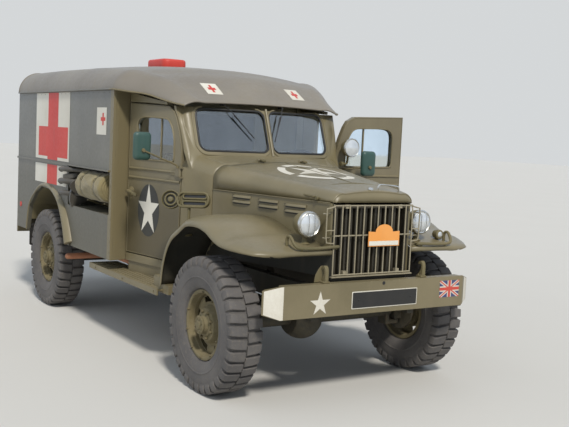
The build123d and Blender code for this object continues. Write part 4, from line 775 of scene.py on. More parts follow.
def make_louvres():
    for side, word in SIDES:
        shape = Shape("louvres_" + word)
        groups = (((-1.671, -1.493), (1.234, 1.199)), ((-1.924, -1.739), (1.227, 1.191)),
                  ((-2.166, -1.978), (1.219, 1.181)))
        for (y0, y1), rows in groups:
            for z in rows:
                loops = []
                for k in range(11):
                    share = k / 10
                    y = y0 + (y1 - y0) * share
                    swell = min(1.0, 6 * share, 6 * (1 - share)) ** 0.6
                    lip = 0.012 * swell
                    loops.append([hood_side_point(side, y, z + 0.013, 0.0002),
                                  hood_side_point(side, y, z + 0.01 * swell, lip * 0.45 + 0.0004),
                                  hood_side_point(side, y, z - 0.002, lip + 0.0006),
                                  hood_side_point(side, y, z - 0.0045, lip + 0.0006),
                                  hood_side_point(side, y, z - 0.0035, 0.0002)])
                shape.skin(loops)
        trim = [hood_side_point(side, y, 1.2645, 0.003) for y in (NOSE_Y + 0.03, -1.9, HOOD_REAR)]
        shape.tube(trim, 0.0035, 8)
        shape.finish(olive, angle=50.0)
        # Black strips in the louvre openings: painted shade inside the slots.
        louvre_shade = Shape("louvre_slot_shade_" + word)
        for (y0, y1), rows in groups:
            for z in rows:
                corners = [(y0 + 0.012, z - 0.0135), (y1 - 0.012, z - 0.0135), (y1 - 0.012, z - 0.003),
                           (y0 + 0.012, z - 0.003)]
                louvre_shade.prism(corners, -0.002, 0.0006, lambda u, v, w: hood_side_point(side, u, v, w))
        louvre_shade.finish(black)


make_louvres()


# Wings: crowned sheets with a rolled edge, over the CAD sheets
def wing_line():
    rear, top = AXLE_F + 0.631, 1.131
    front = at((rear, 0), (0, 600), (-26, 745), (-80, 880), (-165, 985))
    crest = at((rear, top), (-275, -79), (-385, -18), (-495, 0), (-600, -1), (-695, -19), (-760, -42),
               (-815, -66), (-880, -84), (-945, -91), (-1060, -118), (-1150, -142), (-1188, -156))
    control = front + crest
    return soften([Vector((0.0, y, z)) for y, z in control], 4)


def wing_edge(y):
    """Outer and inner reach of the wing in plan at a station."""
    plan = at((FRONT_Y, 0), (64, 730), (78, 800), (104, 855), (170, 900), (254, 935), (380, 943),
              (484, 945)) + at((AXLE_F, 0), (660, 945))
    outer = plan[-1][1]
    for (y0, w0), (y1, w1) in zip(plan, plan[1:]):
        if y <= y1:
            outer = w0 + (w1 - w0) * max(0.0, (y - y0) / (y1 - y0))
            break
    return half_width(y) + 0.001, outer


def make_wing(side, word):
    line = wing_line()
    rows = []
    for i, point in enumerate(line):
        ahead = line[min(i + 1, len(line) - 1)] - line[max(i - 1, 0)]
        normal = Vector((0.0, ahead.z, -ahead.y)).normalized()
        if normal.z < 0 or (abs(normal.z) < 0.15 and normal.y < 0):
            normal = -normal
        inner, outer = wing_edge(point.y)
        width = outer - inner
        fall = 0.45 + 0.55 * min(1.0, max(0.0, (point.y - FRONT_Y - 0.064) / 0.25))
        row = []
        for share, drop in ((0.0, 0.002), (0.25, 0.0), (0.5, 0.001), (0.7, 0.005), (0.84, 0.014),
                            (0.93, 0.026), (0.98, 0.042), (1.0, 0.058), (1.0, 0.07), (0.988, 0.076),
                            (0.975, 0.073)):
            x = inner + width * share
            row.append(Vector((side * x, point.y, point.z)) - normal * drop * fall)
        rows.append(row)
    last = rows[-1]
    fade = [min(1.0, max(0.0, (6.5 - k) / 2.0)) for k in range(len(last))]
    nose = [p - Vector((0, 0.002, 0.02)) * share for p, share in zip(last, fade)]
    lip = [p + Vector((0, 0.008, -0.01)) * share for p, share in zip(nose, fade)]
    shape = Shape("wing_" + word)
    shape.grid([*rows, nose, lip])
    shape.finish(olive, stands_for=("fender_" + word,), thick=0.004, angle=70.0, lining=dark)
    inner_apron = Shape("wing_apron_" + word)
    outline = [(p.y, p.z - 0.004) for p in line if p.y < HOOD_REAR + 0.06]
    outline = [(HOOD_REAR + 0.06, 0.8), *outline, (outline[-1][0], 0.8)]
    inner_apron.prism(outline, 0.0, 0.004,
                      lambda u, v, w: Vector((side * (wing_edge(u)[0] - 0.006 - w), u, v)))
    inner_apron.finish(dark)


for side, word in SIDES:
    make_wing(side, word)


# Roof: one smooth shell, with a rain rail along its edge
# Each section: station, half width, edge height, shoulder height, crown height, corner
ROOF_SECTIONS = (
    (BODY_REAR, 0.94, 1.945, 1.957, 2.196, 0.21),
    (BODY_REAR - 0.03, 0.958, 1.945, 1.96, 2.214, 0.22),
    (BODY_REAR - 0.09, 0.962, 1.945, 1.96, 2.221, 0.22),
    (AXLE_R - 0.06, 0.962, 1.945, 1.96, 2.226, 0.22),
    (BODY_FRONT + 0.64, 0.962, 1.945, 1.96, 2.206, 0.22),
    (BODY_FRONT + 0.1, 0.962, 1.945, 1.96, 2.17, 0.22),
    (BODY_FRONT - 0.02, 0.956, 1.943, 1.959, 2.16, 0.22),
    (BODY_FRONT - 0.15, 0.89, 1.928, 1.943, 2.128, 0.205),
    (BODY_FRONT - 0.294, 0.812, 1.912, 1.926, 2.09, 0.187),
    (BODY_FRONT - 0.439, 0.752, 1.876, 1.888, 2.014, 0.173),
    (BODY_FRONT - 0.56, 0.714, 1.852, 1.862, 1.938, 0.164),
    (BODY_FRONT - 0.62, 0.69, 1.843, 1.852, 1.9, 0.158),
    (BODY_FRONT - 0.64, 0.672, 1.838, 1.846, 1.884, 0.154),
)


def make_roof():
    rows = [crown_row(*section) for section in ROOF_SECTIONS]
    surface = blend_rows(list(reversed(rows)), 4)
    shape = Shape("roof_skin")
    shape.grid(surface)
    back = surface[-1]
    low = [Vector((p.x * 0.985, BODY_REAR - 0.004, 1.945)) for p in back]
    shape.grid([back, low])
    roof = shape.finish(roof_olive_sky_sheen, stands_for=("roof",), thick=0.01, angle=60.0)
    rail = Shape("rain_rails")
    for column in (0, -1):
        line = [row[column] + Vector((0.004 if column == 0 else -0.004, 0.0, 0.006)) for row in surface]
        rail.tube(line, 0.0065, 8)
    edge = [row for row in surface if row[0].y > BODY_REAR - 0.02][-1]
    rail.tube([p + Vector((0, 0.001, 0.0)) for p in edge], 0.005, 8)
    rail.finish(shaded_body_olive)
    return roof


roof = make_roof()


# Grille guard: twelve round uprights in a frame of flat bars, with a wing beside each headlight
GUARD_HALF = 0.311
GUARD_Y = NOSE_Y - 0.006


def make_guard():
    shape = Shape("guard_rods")
    low, high = 0.813, 1.256
    for k in range(12):
        x = -GUARD_HALF + 2 * GUARD_HALF * k / 11
        lean = 0.012 if k in (0, 11) else 0.0
        shape.tube([(x, GUARD_Y, low), (x, GUARD_Y, high - 0.03), (x, GUARD_Y + lean, high)], 0.0046, 10)
    for z, dy in ((low + 0.006, 0.0), (1.062, 0.01), (high - 0.006, 0.004)):
        shape.tube([(-GUARD_HALF - 0.002, GUARD_Y + dy, z), (GUARD_HALF + 0.002, GUARD_Y + dy, z)], 0.0048,
                   10)
    shape.block((-GUARD_HALF - 0.012, GUARD_Y - 0.012, low - 0.01),
                (GUARD_HALF + 0.012, GUARD_Y + 0.012, low - 0.002))
    for side in (-1, 1):
        wing = side * (GUARD_HALF + 0.062)
        inner = side * GUARD_HALF
        loop = [(inner, GUARD_Y, high - 0.01), (inner + side * 0.03, GUARD_Y, high - 0.018),
                (wing, GUARD_Y, 1.232), (wing, GUARD_Y, 1.06), (wing - side * 0.006, GUARD_Y, 1.022),
                (inner, GUARD_Y, 1.016)]
        shape.tube(loop, 0.0048, 8)
        shape.tube([(inner, GUARD_Y, 1.098), (wing, GUARD_Y, 1.098)], 0.004, 8)
        for z in (low + 0.016, high - 0.012):
            shape.block((side * 0.21 - 0.016, GUARD_Y + 0.004, z - 0.012),
                        (side * 0.21 + 0.016, NOSE_Y + 0.0215, z + 0.012))
        for z in (1.05, 1.2):
            shape.tube([(wing, GUARD_Y, z), (wing + side * 0.004, GUARD_Y + 0.03, z),
                        (inner - side * 0.012, NOSE_Y + 0.034, z)], 0.004, 8)
    # Pale paint on the guard: dust and a painted highlight on the rods.
    shape.finish(guard_dust_and_highlight, stands_for=("grille_guard",))


make_guard()


def make_plaque():
    """Small arched plaque wired to the guard, left blank."""
    shape = Shape("plaque")
    y = GUARD_Y - 0.0095
    x0, x1, z0, z1, middle = -0.052, 0.2, 0.992, 1.088, 0.074
    outline = [(x0, z0), (x1, z0), (x1, z1)]
    outline += [(middle + 0.07 * cos(t), z1 - 0.004 + 0.048 * sin(t))
                for t in [pi * k / 12 for k in range(13)]]
    outline += [(x0, z1)]
    shape.prism(outline, y, y - 0.004, along_y)
    shape.finish(orange, 0.0008, slot="red_paint")
    strip = Shape("plaque_strip")
    strip.prism(at((x0, z0), (6, 5)) + at((x1, z0), (-6, 5), (-6, 34)) + at((x0, z0), (6, 34)), y - 0.0035,
                y - 0.0046, along_y)
    strip.finish(white, slot="red_paint")


make_plaque()

# Lamps: headlights with fluted lenses and guard wires, marker lamps, tail lamps
HEAD_Y = NOSE_Y + 0.068
HEAD_Z = 1.131


def wing_height(y):
    start, end = (AXLE_F - 0.314, 1.04), (FRONT_Y + 0.064, 0.973)
    return start[1] + (y - start[0]) / (end[0] - start[0]) * (end[1] - start[1])


def make_lamps():
    bodies, glasses, rims = Shape("lamp_bodies"), Shape("lamp_lenses"), Shape("lamp_rims")
    for side in (-1, 1):
        centre = Vector((side * 0.452, HEAD_Y, HEAD_Z))
        bodies.spin(mm((-4, 78), (4, 81), (30, 80), (62, 74), (92, 60), (114, 40), (124, 18), (126, 0)),
                    centre, AFT, 40)
        foot = wing_height(HEAD_Y + 0.04)
        bodies.spin(mm((0, 34), (4, 34), (12, 22), (30, 16), (60, 16)),
                    (centre.x, HEAD_Y + 0.04, foot - 0.002), UP, 24)
        bodies.rod((centre.x, HEAD_Y + 0.04, foot + 0.05), (centre.x, HEAD_Y + 0.04, HEAD_Z - 0.07), 0.014)
        rims.spin(mm((-12, 66.5), (-16, 72), (-12, 79), (-2, 82.5), (4, 82)), centre, AFT, 40)
        glasses.spin(mm((-10, 69), (-17, 60), (-24, 40), (-28, 18), (-29, 0)), centre, AFT, 40)
        for dx in (-0.022, 0.022):
            rims.tube(at((centre.x + dx, HEAD_Y, HEAD_Z), (0, -4, 76), (0, -34, 50), (0, -36, 0),
                         (0, -34, -50), (0, -4, -76)), 0.0022, 8)
        inner, outer = (0.276, 0.6) if side < 0 else (0.379, 0.68)
        hoop = [(side * inner, -2.376, 0.99), (side * (inner + 0.01), -2.402, 0.998),
                (side * (inner + 0.16), -2.405, 0.992), (side * (outer - 0.04), -2.402, 0.995),
                (side * (outer - 0.008), -2.388, 1.015), (side * outer, -2.352, 1.058),
                (side * outer, -2.318, 1.052), (side * outer, -2.312, 1.0)]
        bodies.tube(soften(hoop, 5), 0.01, 10)
        for x in (inner + 0.03, outer - 0.06):
            bodies.rod((side * x, -2.402, 0.996), (side * x, -2.388, wing_height(-2.388) - 0.004), 0.007)
        if side < 0:
            bodies.rod((side * inner, -2.376, 0.99), (side * inner, -2.376, wing_height(-2.376) - 0.004),
                       0.009)
        if side > 0:
            mark = Vector((0.64, HEAD_Y + 0.04, wing_height(HEAD_Y + 0.04) + 0.036))
            bodies.spin(mm((-34, 26), (-30, 32), (0, 31), (20, 24), (34, 0)), mark, AFT, 24)
            bodies.rod(mark - Vector((0, 0, 0.046)), mark - Vector((0, 0, 0.02)), 0.013, 0.01)
            glasses.spin(mm((-30, 24), (-38, 16), (-41, 0)), mark, AFT, 24)
        tail = Vector((side * 0.82, BODY_REAR, 0.96))
        bodies.spin(mm((0.5, 50), (8, 48), (30, 44), (36, 40)), tail, AFT, 32)
        bodies.block(tail + Vector((-0.03, 0.0005, -0.075)), tail + Vector((0.03, 0.01, -0.04)))
    bodies.finish(olive_worn, stands_for=("lamps",))
    rims.finish(bright)
    glasses.finish(lens)
    tails = Shape("tail_lenses")
    for side in (-1, 1):
        tails.spin(mm((35, 39.5), (42, 34), (46, 0)), (side * 0.82, BODY_REAR, 0.96), AFT, 32)
        tails.spin(mm((0, 26), (-4, 25), (-5.5, 0)), (side * BODY_HALF, BODY_REAR - 0.115, 0.865),
                   (-side, 0, 0), 24)
    tails.finish(red)


make_lamps()


def make_spotlight():
    x, y, z = 0.746, AXLE_F + 0.712, 1.588
    shape = Shape("spotlight_body")
    shape.spin(mm((-10, 70), (-4, 75), (34, 70), (62, 56), (88, 34), (100, 0)), (x, y, z), AFT, 36)
    shape.tube(soften(at((x, y, z), (0, 40, -60), (0, 44, -110), (-12, 44, -128), (-55, 44, -130)), 5),
               0.009, 12)
    shape.rod(*at((x, y, z), (-40, 44, -130), (-66, 44, -130)), 0.015, 0.02)
    shape.finish(olive_worn, stands_for=("spotlight",))
    front = Shape("spotlight_lens")
    front.spin(mm((-12, 65), (-18, 43), (-22, 0)), (x, y, z), AFT, 36)
    front.finish(lens)
    ring = Shape("spotlight_rim")
    ring.spin(mm((-12, 63), (-16, 69), (-10, 74), (-2, 75.5)), (x, y, z), AFT, 36)
    ring.finish(bright)


make_spotlight()


# Siren on the right wing: ringed head on a post, and a slotted guard beside it
def make_siren():
    head = Vector((-0.87, AXLE_F + 0.597, 1.19))
    tip = Vector((-0.7, AXLE_F + 0.372, 1.206))
    facing = Vector((-0.62, -0.74, 0.25)).normalized()
    shape = Shape("siren_body")
    shape.spin(mm((-58, 0), (-56, 46), (-44, 60), (-12, 66), (6, 66), (9, 60), (-10, 54), (-10, 48),
                  (6, 44), (6, 34), (-12, 30), (-12, 22), (10, 18), (13, 12), (13, 0)), head, facing, 40)
    along = Vector((tip.x - head.x, tip.y - head.y, 0.012)).normalized()
    normal = facing - along * facing.dot(along)
    normal.normalize()
    up = normal.cross(along)
    up = -up if up.z < 0 else up
    length = (tip - head).length

    def place(u, v, w):
        return head + along * u + up * v + normal * w

    outer = rounded_box(0.04, length, -0.05, 0.056, 0.046)
    shape.prism(outer, -0.04, -0.024, place)
    for v in (-0.022, 0.028):
        bar = rounded_box(0.085, length - 0.02, v - 0.016, v + 0.016, 0.015)
        shape.bead(bar, place, -0.018, 0.007, 8)
    shape.bead(rounded_box(0.046, length - 0.005, -0.046, 0.052, 0.042), place, -0.014, 0.0085, 8)
    x, y = -0.775, AXLE_F + 0.502
    shape.rod((x, y, 1.16), (x, y, 0.952), 0.011)
    shape.rod((x, y, 0.962), (x, y, 0.946), 0.026, 0.034)
    shape.finish(olive_worn, 0.001, stands_for=("siren",))
    # Black rings in the grooves of the head and black strips between the guard's bars: painted shade in the
    # openings.
    siren_shade = Shape("siren_slot_shade")
    for inner, outer in ((0.0475, 0.0545), (0.0215, 0.0305)):
        siren_shade.spin([(-0.0098, inner), (-0.0092, inner), (-0.0092, outer), (-0.0098, outer)],
                   head, facing, 40)
    for v in (-0.022, 0.028):
        siren_shade.prism(rounded_box(0.09, length - 0.026, v - 0.011, v + 0.011, 0.01), -0.0245, -0.0225, place)
    siren_shade.finish(black)


make_siren()


# Windshield: frame beads, rubber seals, wipers hung from the top
RAKE = 0.395
RAKE_Z = 1.38
VEE_Y = AXLE_F + 0.682 - (1.488 - RAKE_Z) * RAKE
VEE = 0.088
PANE_HALF = 0.557


def pane_point(side, x, z, out=0.0):
    """Point on the front face of the windshield frame."""
    y = VEE_Y + (z - RAKE_Z) * RAKE + VEE * abs(x) / (PANE_HALF + 0.03)
    return Vector((side * x, y - out, z))


def make_windshield():
    seals = Shape("windshield_seals")
    beads = Shape("windshield_beads")
    for side in (-1, 1):
        pane = rounded_box(0.017, PANE_HALF, 1.526, 1.83, 0.06, 6)
        seals.tube([pane_point(side, x, z, -0.004) for x, z in pane], 0.009, 8, True)
        swage = rounded_box(0.004, PANE_HALF + 0.028, 1.498, 1.846, 0.082, 6)
        swage = [(x, z) for x, z in swage if x > 0.01]
        line = [pane_point(side, x, z, 0.001) for x, z in swage]
        start = max(range(len(line)), key=lambda k: (line[k] - line[k - 1]).length)
        beads.tube(line[start:] + line[:start], 0.0055, 8)
    beads.tube([pane_point(1, 0.0, 1.5, 0.006), pane_point(1, 0.0, 1.85, 0.006)], 0.009, 10)
    beads.finish(olive)
    seals.finish(black)
    wipers = Shape("wipers")
    for side, top, tip in ((-1, (0.33, 1.872), (0.19, 1.7)), (1, (0.165, 1.872), (0.075, 1.69))):
        pivot = pane_point(side, *top, 0.014)
        end = pane_point(side, *tip, 0.016)
        wipers.rod(pane_point(side, *top, -0.04), pivot, 0.012, 0.01)
        wipers.tube([pivot, (pivot + end) / 2 + Vector((0, -0.01, 0)), end], 0.0035, 8)
        turn = (end - pivot).normalized()
        wipers.tube([end - turn * 0.13 + Vector((0, 0.004, 0)), end,
                     end + turn * 0.1 + Vector((0, 0.004, 0))], 0.0045, 6)
    wipers.finish(black)


make_windshield()


# Decals: thin paint laid on the surface under it; a second coat lies a little further out
FIRST_LIFT, SECOND_LIFT, ROOF_SECOND_LIFT = 0.0016, 0.0024, 0.0028


def laid(name, polygons, place, direction, target, material, body, lift, cell):
    """Flat outlines, cut into small cells and dropped along a direction onto a piece."""
    bpy.context.view_layer.update()
    tree = BVHTree.FromObject(target, bpy.context.evaluated_depsgraph_get())
    back = target.matrix_world.inverted()
    bm = bmesh.new()
    for polygon in polygons:
        bm.faces.new([bm.verts.new((u, v, 0.0)) for u, v in polygon])
    bmesh.ops.triangulate(bm, faces=bm.faces)
    for axis in (0, 1):
        values = [v.co[axis] for v in bm.verts]
        cut = round_down(min(values) / cell) * cell + cell
        while cut < max(values):
            spot, normal = Vector((0, 0, 0)), Vector((0, 0, 0))
            spot[axis], normal[axis] = cut, 1.0
            everything = bm.verts[:] + bm.edges[:] + bm.faces[:]
            bmesh.ops.bisect_plane(bm, geom=everything, plane_co=spot, plane_no=normal)
            cut += cell
    direction = Vector(direction).normalized()
    missed = []
    for v in bm.verts:
        start = place(v.co.x, v.co.y)
        hit, normal, _, _ = tree.ray_cast(back @ start, back.to_3x3() @ direction)
        if hit is None:
            missed.append(v)
            continue
        world = target.matrix_world @ hit
        normal = target.matrix_world.to_3x3() @ normal
        if normal.dot(direction) > 0:
            normal = -normal
        v.co = world + normal * lift
    bmesh.ops.delete(bm, geom=missed, context="VERTS")
    shape = Shape(name)
    shape.bm.free()
    shape.bm = bm
    return shape.finish(material, body=body, slot="olive_paint", angle=60.0)


def decals(place, direction, target, body="vehicle", cell=0.3):
    """A laid() for one face, so that each call names only the outlines, the paint and the lift."""
    def lay(name, polygons, material, lift=FIRST_LIFT):
        return laid(name, polygons, place, direction, target, material, body, lift, cell)

    return lay


def star(cx, cy, radius, turn=0.0):
    points = []
    for k in range(10):
        t = radians(90 + turn + 36 * k)
        r = radius if k % 2 == 0 else radius * 0.382
        points.append((cx + r * cos(t), cy + r * sin(t)))
    return points


def star_parts(cx, cy, radius, turn=0.0):
    """Star as five kites, so that each polygon is convex."""
    outline = star(cx, cy, radius, turn)
    return [[(cx, cy), outline[(2 * k - 1) % 10], outline[2 * k], outline[2 * k + 1]] for k in range(5)]


def ring_parts(cx, cy, inner, outer, gap, turn=0.0, steps=10):
    """Ring broken at the five points of a star."""
    parts = []
    for k in range(5):
        start, end = 90 + turn + 72 * k + gap, 90 + turn + 72 * (k + 1) - gap
        for j in range(steps):
            a = radians(start + (end - start) * j / steps)
            b = radians(start + (end - start) * (j + 1) / steps)
            parts.append([(cx + inner * cos(a), cy + inner * sin(a)),
                          (cx + outer * cos(a), cy + outer * sin(a)),
                          (cx + outer * cos(b), cy + outer * sin(b)),
                          (cx + inner * cos(b), cy + inner * sin(b))])
    return parts


def rectangle(x0, x1, y0, y1):
    return [(x0, y0), (x1, y0), (x1, y1), (x0, y1)]


def plus_parts(cx, cy, reach, half):
    return [rectangle(cx - half, cx + half, cy - reach, cy + reach),
            rectangle(cx - reach, cx - half, cy - half, cy + half),
            rectangle(cx + half, cx + reach, cy - half, cy + half)]


def make_markings():
    centre = -1.7225
    mark = star_parts(0.0, 0.0, 0.205, 180.0) + ring_parts(0.0, 0.0, 0.218, 0.275, 6.0, 180.0)
    mark = [[(u * 0.94, centre + v * 1.06) for u, v in part] for part in mark]
    on_hood = decals(lambda u, v: Vector((u, v, 2.0)), (0, 0, -1), hood, "hood", 0.03)
    on_hood("hood_star", mark, white)

    on_right = decals(lambda u, v: Vector((-1.2, u, v)), (1, 0, 0), nodes["body_side_right"], cell=0.5)
    upper, lower = (BELT_HIGH, ROOF_EDGE), (1.128, BELT_LOW)
    on_right("cross_field", [rectangle(0.6, 1.5135, *upper), rectangle(0.64, 1.5135, *lower)], white)
    cross = [rectangle(0.8945, 1.1685, *lower), rectangle(0.8945, 1.1685, *upper),
             rectangle(0.6345, 0.8945, 1.372, 1.64), rectangle(1.1685, 1.4305, 1.372, 1.64)]
    on_right("cross_bars", cross, red, SECOND_LIFT)

    on_left = decals(lambda u, v: Vector((1.2, u, v)), (-1, 0, 0), nodes["body_side_left"], cell=0.5)
    on_left("cross_field_left", [rectangle(0.69, 1.5135, *upper)], white)
    cross = [rectangle(0.965, 1.239, *upper), rectangle(0.72, 0.965, 1.505, 1.78),
             rectangle(1.239, 1.484, 1.505, 1.78)]
    on_left("cross_bars_left", cross, red, SECOND_LIFT)

    on_right("small_sign", [rectangle(-0.2365, -0.0305, 1.6, 1.812)], white)
    on_right("small_cross", plus_parts(-0.1635, 1.722, 0.048, 0.014), red, SECOND_LIFT)

    on_roof = decals(lambda u, v: Vector((u, v, 2.6)), (0, 0, -1), roof, cell=0.04)
    on_roof("roof_field", [rectangle(-0.52, 0.52, 1.05, 1.95)], white)
    on_roof("roof_cross", plus_parts(0.0, 1.5, 0.4, 0.13), red, ROOF_SECOND_LIFT)
    for x in (-0.37, 0.37):
        on_brow = decals(lambda u, v, x=x: Vector((x + u, -1.6, 2.02 + v)), (0, 1, -0.05), roof, cell=0.02)
        on_brow("brow_field_%d" % (x > 0), [rectangle(-0.062, 0.062, -0.045, 0.045)], white)
        on_brow("brow_cross_%d" % (x > 0), plus_parts(0.0, 0.0, 0.03, 0.009), red, ROOF_SECOND_LIFT)


make_markings()


def nodes_box(name):
    low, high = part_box(name)
    return Vector(low), Vector(high)


# Doors: belt ribs, window frames, handles, and the star on a dark disc that is partly the siren's painted
# shadow
DOOR_SKIN = 0.042
DOOR_REACH = DOOR_LENGTH - 0.006


def door_matrix(side):
    """From (outward, behind the hinge edge, height) to the vehicle's frame."""
    closed = Matrix.Translation((CAB_FRONT_HALF, DOOR_FRONT, 0.0)) @ Matrix.Rotation(-DOOR_TAPER, 4, "Z")
    if side > 0:
        swing = Matrix.Rotation(-LEFT_DOOR_OPEN, 4, "Z")
        return Matrix.Translation(HINGE) @ swing @ Matrix.Translation(-HINGE) @ closed
    return Matrix.Diagonal((-1.0, 1.0, 1.0, 1.0)) @ closed


def window_line(out):
    """Outline of the window opening, at a distance out from the door's skin."""
    corner = DOOR_REACH - 0.1
    points = mm((94, 1520), (100, 1604), (130, 1684), (184, 1738), (300, 1749))
    points += at((corner, 0), (-110, 1752), (-34, 1738), (-2, 1690), (0, 1600), (0, 1500),
                 (-8, 1446), (-50, 1434))
    points += mm((300, 1432), (135, 1434), (98, 1448))
    return [(out, u, z) for u, z in soft_outline(points, 5)]


def make_door_detail():
    for side, word in SIDES:
        body = "door_" + word
        place = door_matrix(side)
        frame_bars = Shape("door_trim_" + word)
        frame_bars.tube(window_line(0.0005), 0.0065, 8, True)
        frame_bars.tube(window_line(-DOOR_SKIN - 0.0005), 0.006, 8, True)
        for z in (1.36, 1.291):
            rib = at((0, 0, z), (0.5, 14, 0), (1.5, 30, 0)) + at((0, DOOR_REACH, z),
                                                                 (1.5, -30, 0), (0.5, -14, 0))
            frame_bars.tube(rib, 0.0095, 8)
        edge = mm((0, 6, 712), (0, 6, 1532), (0, 43, 1655), (0, 82, 1748), (0, 113, 1794),
                  (0, 176, 1829)) + at((0, DOOR_REACH, 0), (0, -6, 1849), (0, -6, 712))
        frame_bars.tube(edge, 0.0035, 6, True)
        frame_bars.block(*mm((-30, 274, 1434), (-12, 286, 1750)))
        lower = rounded_box(0.05, DOOR_REACH - 0.05, 0.77, 1.245, 0.045)
        frame_bars.bead(lower, along_x, -DOOR_SKIN - 0.0005, 0.005)
        for z in (0.79, 1.36):
            for u in (0.075, 0.105):
                frame_bars.rod((0.0, u, z), (0.006, u, z), 0.008, 0.006, 8)
            frame_bars.block(*at((0, 0, z), (0.5, 28, -22), (6, 122, 22)))
        bmesh.ops.transform(frame_bars.bm, matrix=place, verts=frame_bars.bm.verts)
        frame_bars.finish(olive, 0.0008, body)
        handle = Shape("door_handle_" + word)
        u, z = DOOR_REACH - 0.048, 1.179
        handle.spin(mm((0, 38), (5, 37), (9, 28), (14, 17), (34, 14)), (0.0, u, z), LEFT, 24)
        grip = soften(at((0, u, z), (34, 4, 4), (38, -30, 2), (38, -65, -4), (34, -98, -18),
                         (30, -108, -30)), 5)
        handle.tube(grip, 0.0125, 10)
        handle.spin(mm((0, 12), (4, 11), (5, 0)), (0.0, u + 0.004, z - 0.055), LEFT, 20)
        handle.tube(at((-DOOR_SKIN, u, 0), (-4, -100, 1210), (-22, -100, 1210), (-26, -190, 1190)), 0.006,
                    8)
        handle.tube(at((-DOOR_SKIN, 0, 0), (-4, 330, 1160), (-26, 330, 1160), (-28, 330, 1060),
                       (-50, 330, 1055)), 0.006, 8)
        bmesh.ops.transform(handle.bm, matrix=place, verts=handle.bm.verts)
        handle.finish(olive_worn, 0.0006, body)

        cu, cz, radius = 0.392, 1.052, 0.19
        narrow, tall = 0.74, 1.06
        disc = [(radius * 0.98 * cos(t), radius * 0.98 * sin(t)) for t in around(40)]
        disc, mark = [[[(cu + a * narrow, cz + b * tall) for a, b in part] for part in parts]
                      for parts in ([disc], star_parts(0.0, 0.0, radius))]
        on_door = decals(lambda u, v, place=place: place @ Vector((0.3, u, v)),
                         place.to_3x3() @ Vector((-1.0, 0.0, 0.0)), nodes[body], body)
        # The dark disc under the star is partly a painted shadow of the siren.
        on_door("door_disc_" + word, disc, star_ground, 0.001)
        on_door("door_star_" + word, mark, white, 0.002)


make_door_detail()


# Rails over the doors, between the roof's edge and the door tops
def make_door_rails():
    shape = Shape("door_rails")
    for side in (-1, 1):
        y0, y1 = DOOR_FRONT + 0.2, DOOR_REAR
        loops = []
        for k in range(9):
            share = k / 8
            y = y0 + (y1 - y0) * share
            half = cab_half(y)
            top = 1.862 + 0.072 * share ** 1.2 + 0.006
            low = 1.8625 - 0.018 * (1 - share) ** 2
            section = ((half, low), (half, top), (half - 0.044, top), (half - 0.044, low))
            loops.append([Vector((side * x, y, z)) for x, z in section])
        shape.skin(loops)
    shape.finish(olive, 0.002)


make_door_rails()


# Mirrors: round-cornered shells on arms, with the glass on the rear side
def make_mirrors():
    for side, word, (x, y, z) in ((1, "left", (0.9, DOOR_FRONT - 0.139, 1.467)),
                                  (-1, "right", (-0.95, DOOR_FRONT + 0.103, 1.541))):
        turn = LEFT_DOOR_OPEN if side > 0 else 0.0
        out_x, back_y = 0.007, 0.03
        foot = Vector((side * (HINGE.x + out_x * cos(turn) + back_y * sin(turn)),
                       HINGE.y + back_y * cos(turn) - out_x * sin(turn), 1.3903))
        shell = Shape("mirror_shell_" + word)
        loops = []
        for dy, grow in ((-0.024, 0.58), (-0.022, 0.78), (-0.016, 0.92), (-0.006, 0.99), (0.008, 1.0)):
            outline = rounded_box(-0.066 * grow, 0.066 * grow, -0.1 * (0.35 + 0.65 * grow),
                                  0.1 * (0.35 + 0.65 * grow), 0.028 * grow, 5)
            loops.append([Vector((x + a, y + dy, z + b)) for a, b in outline])
        shell.skin(loops)
        shell.finish(green, body="door_" + word, slot="dark_paint",
                     stands_for=("mirror_" + word,), angle=50.0)
        glass_face = Shape("mirror_glass_" + word)
        glass_face.prism(rounded_box(x - 0.06, x + 0.06, z - 0.094, z + 0.094, 0.024), y + 0.008,
                         y + 0.0088, along_y)
        glass_face.finish(mirror_glass, body="door_" + word)
        arm = Shape("mirror_arm_" + word)
        knob = Vector((x, y - 0.026, z - 0.03))
        arm.spin(mm((-10, 0), (-6, 12), (4, 15), (12, 12)), knob, (0, -1, 0), 20)
        bend = foot + Vector((0.0, 0.0, 0.02))
        arm.tube(soften([foot, foot + Vector((0, 0, 0.012)), bend + (knob - bend) * 0.12,
                         bend + (knob - bend) * 0.6, knob + Vector((0, 0.004, 0))], 5), 0.0062, 10)
        arm.rod(foot, foot + Vector((0, 0, 0.012)), 0.01, 0.008)
        arm.finish(olive_worn, body="door_" + word, slot="dark_paint")


make_mirrors()


# Bumper: white ends, star, blank plate, small flag, bolts and a black disc of painted shade for the crank
# hole; hooks above it
BUMPER_LOW, BUMPER_HIGH = 0.58, 0.781


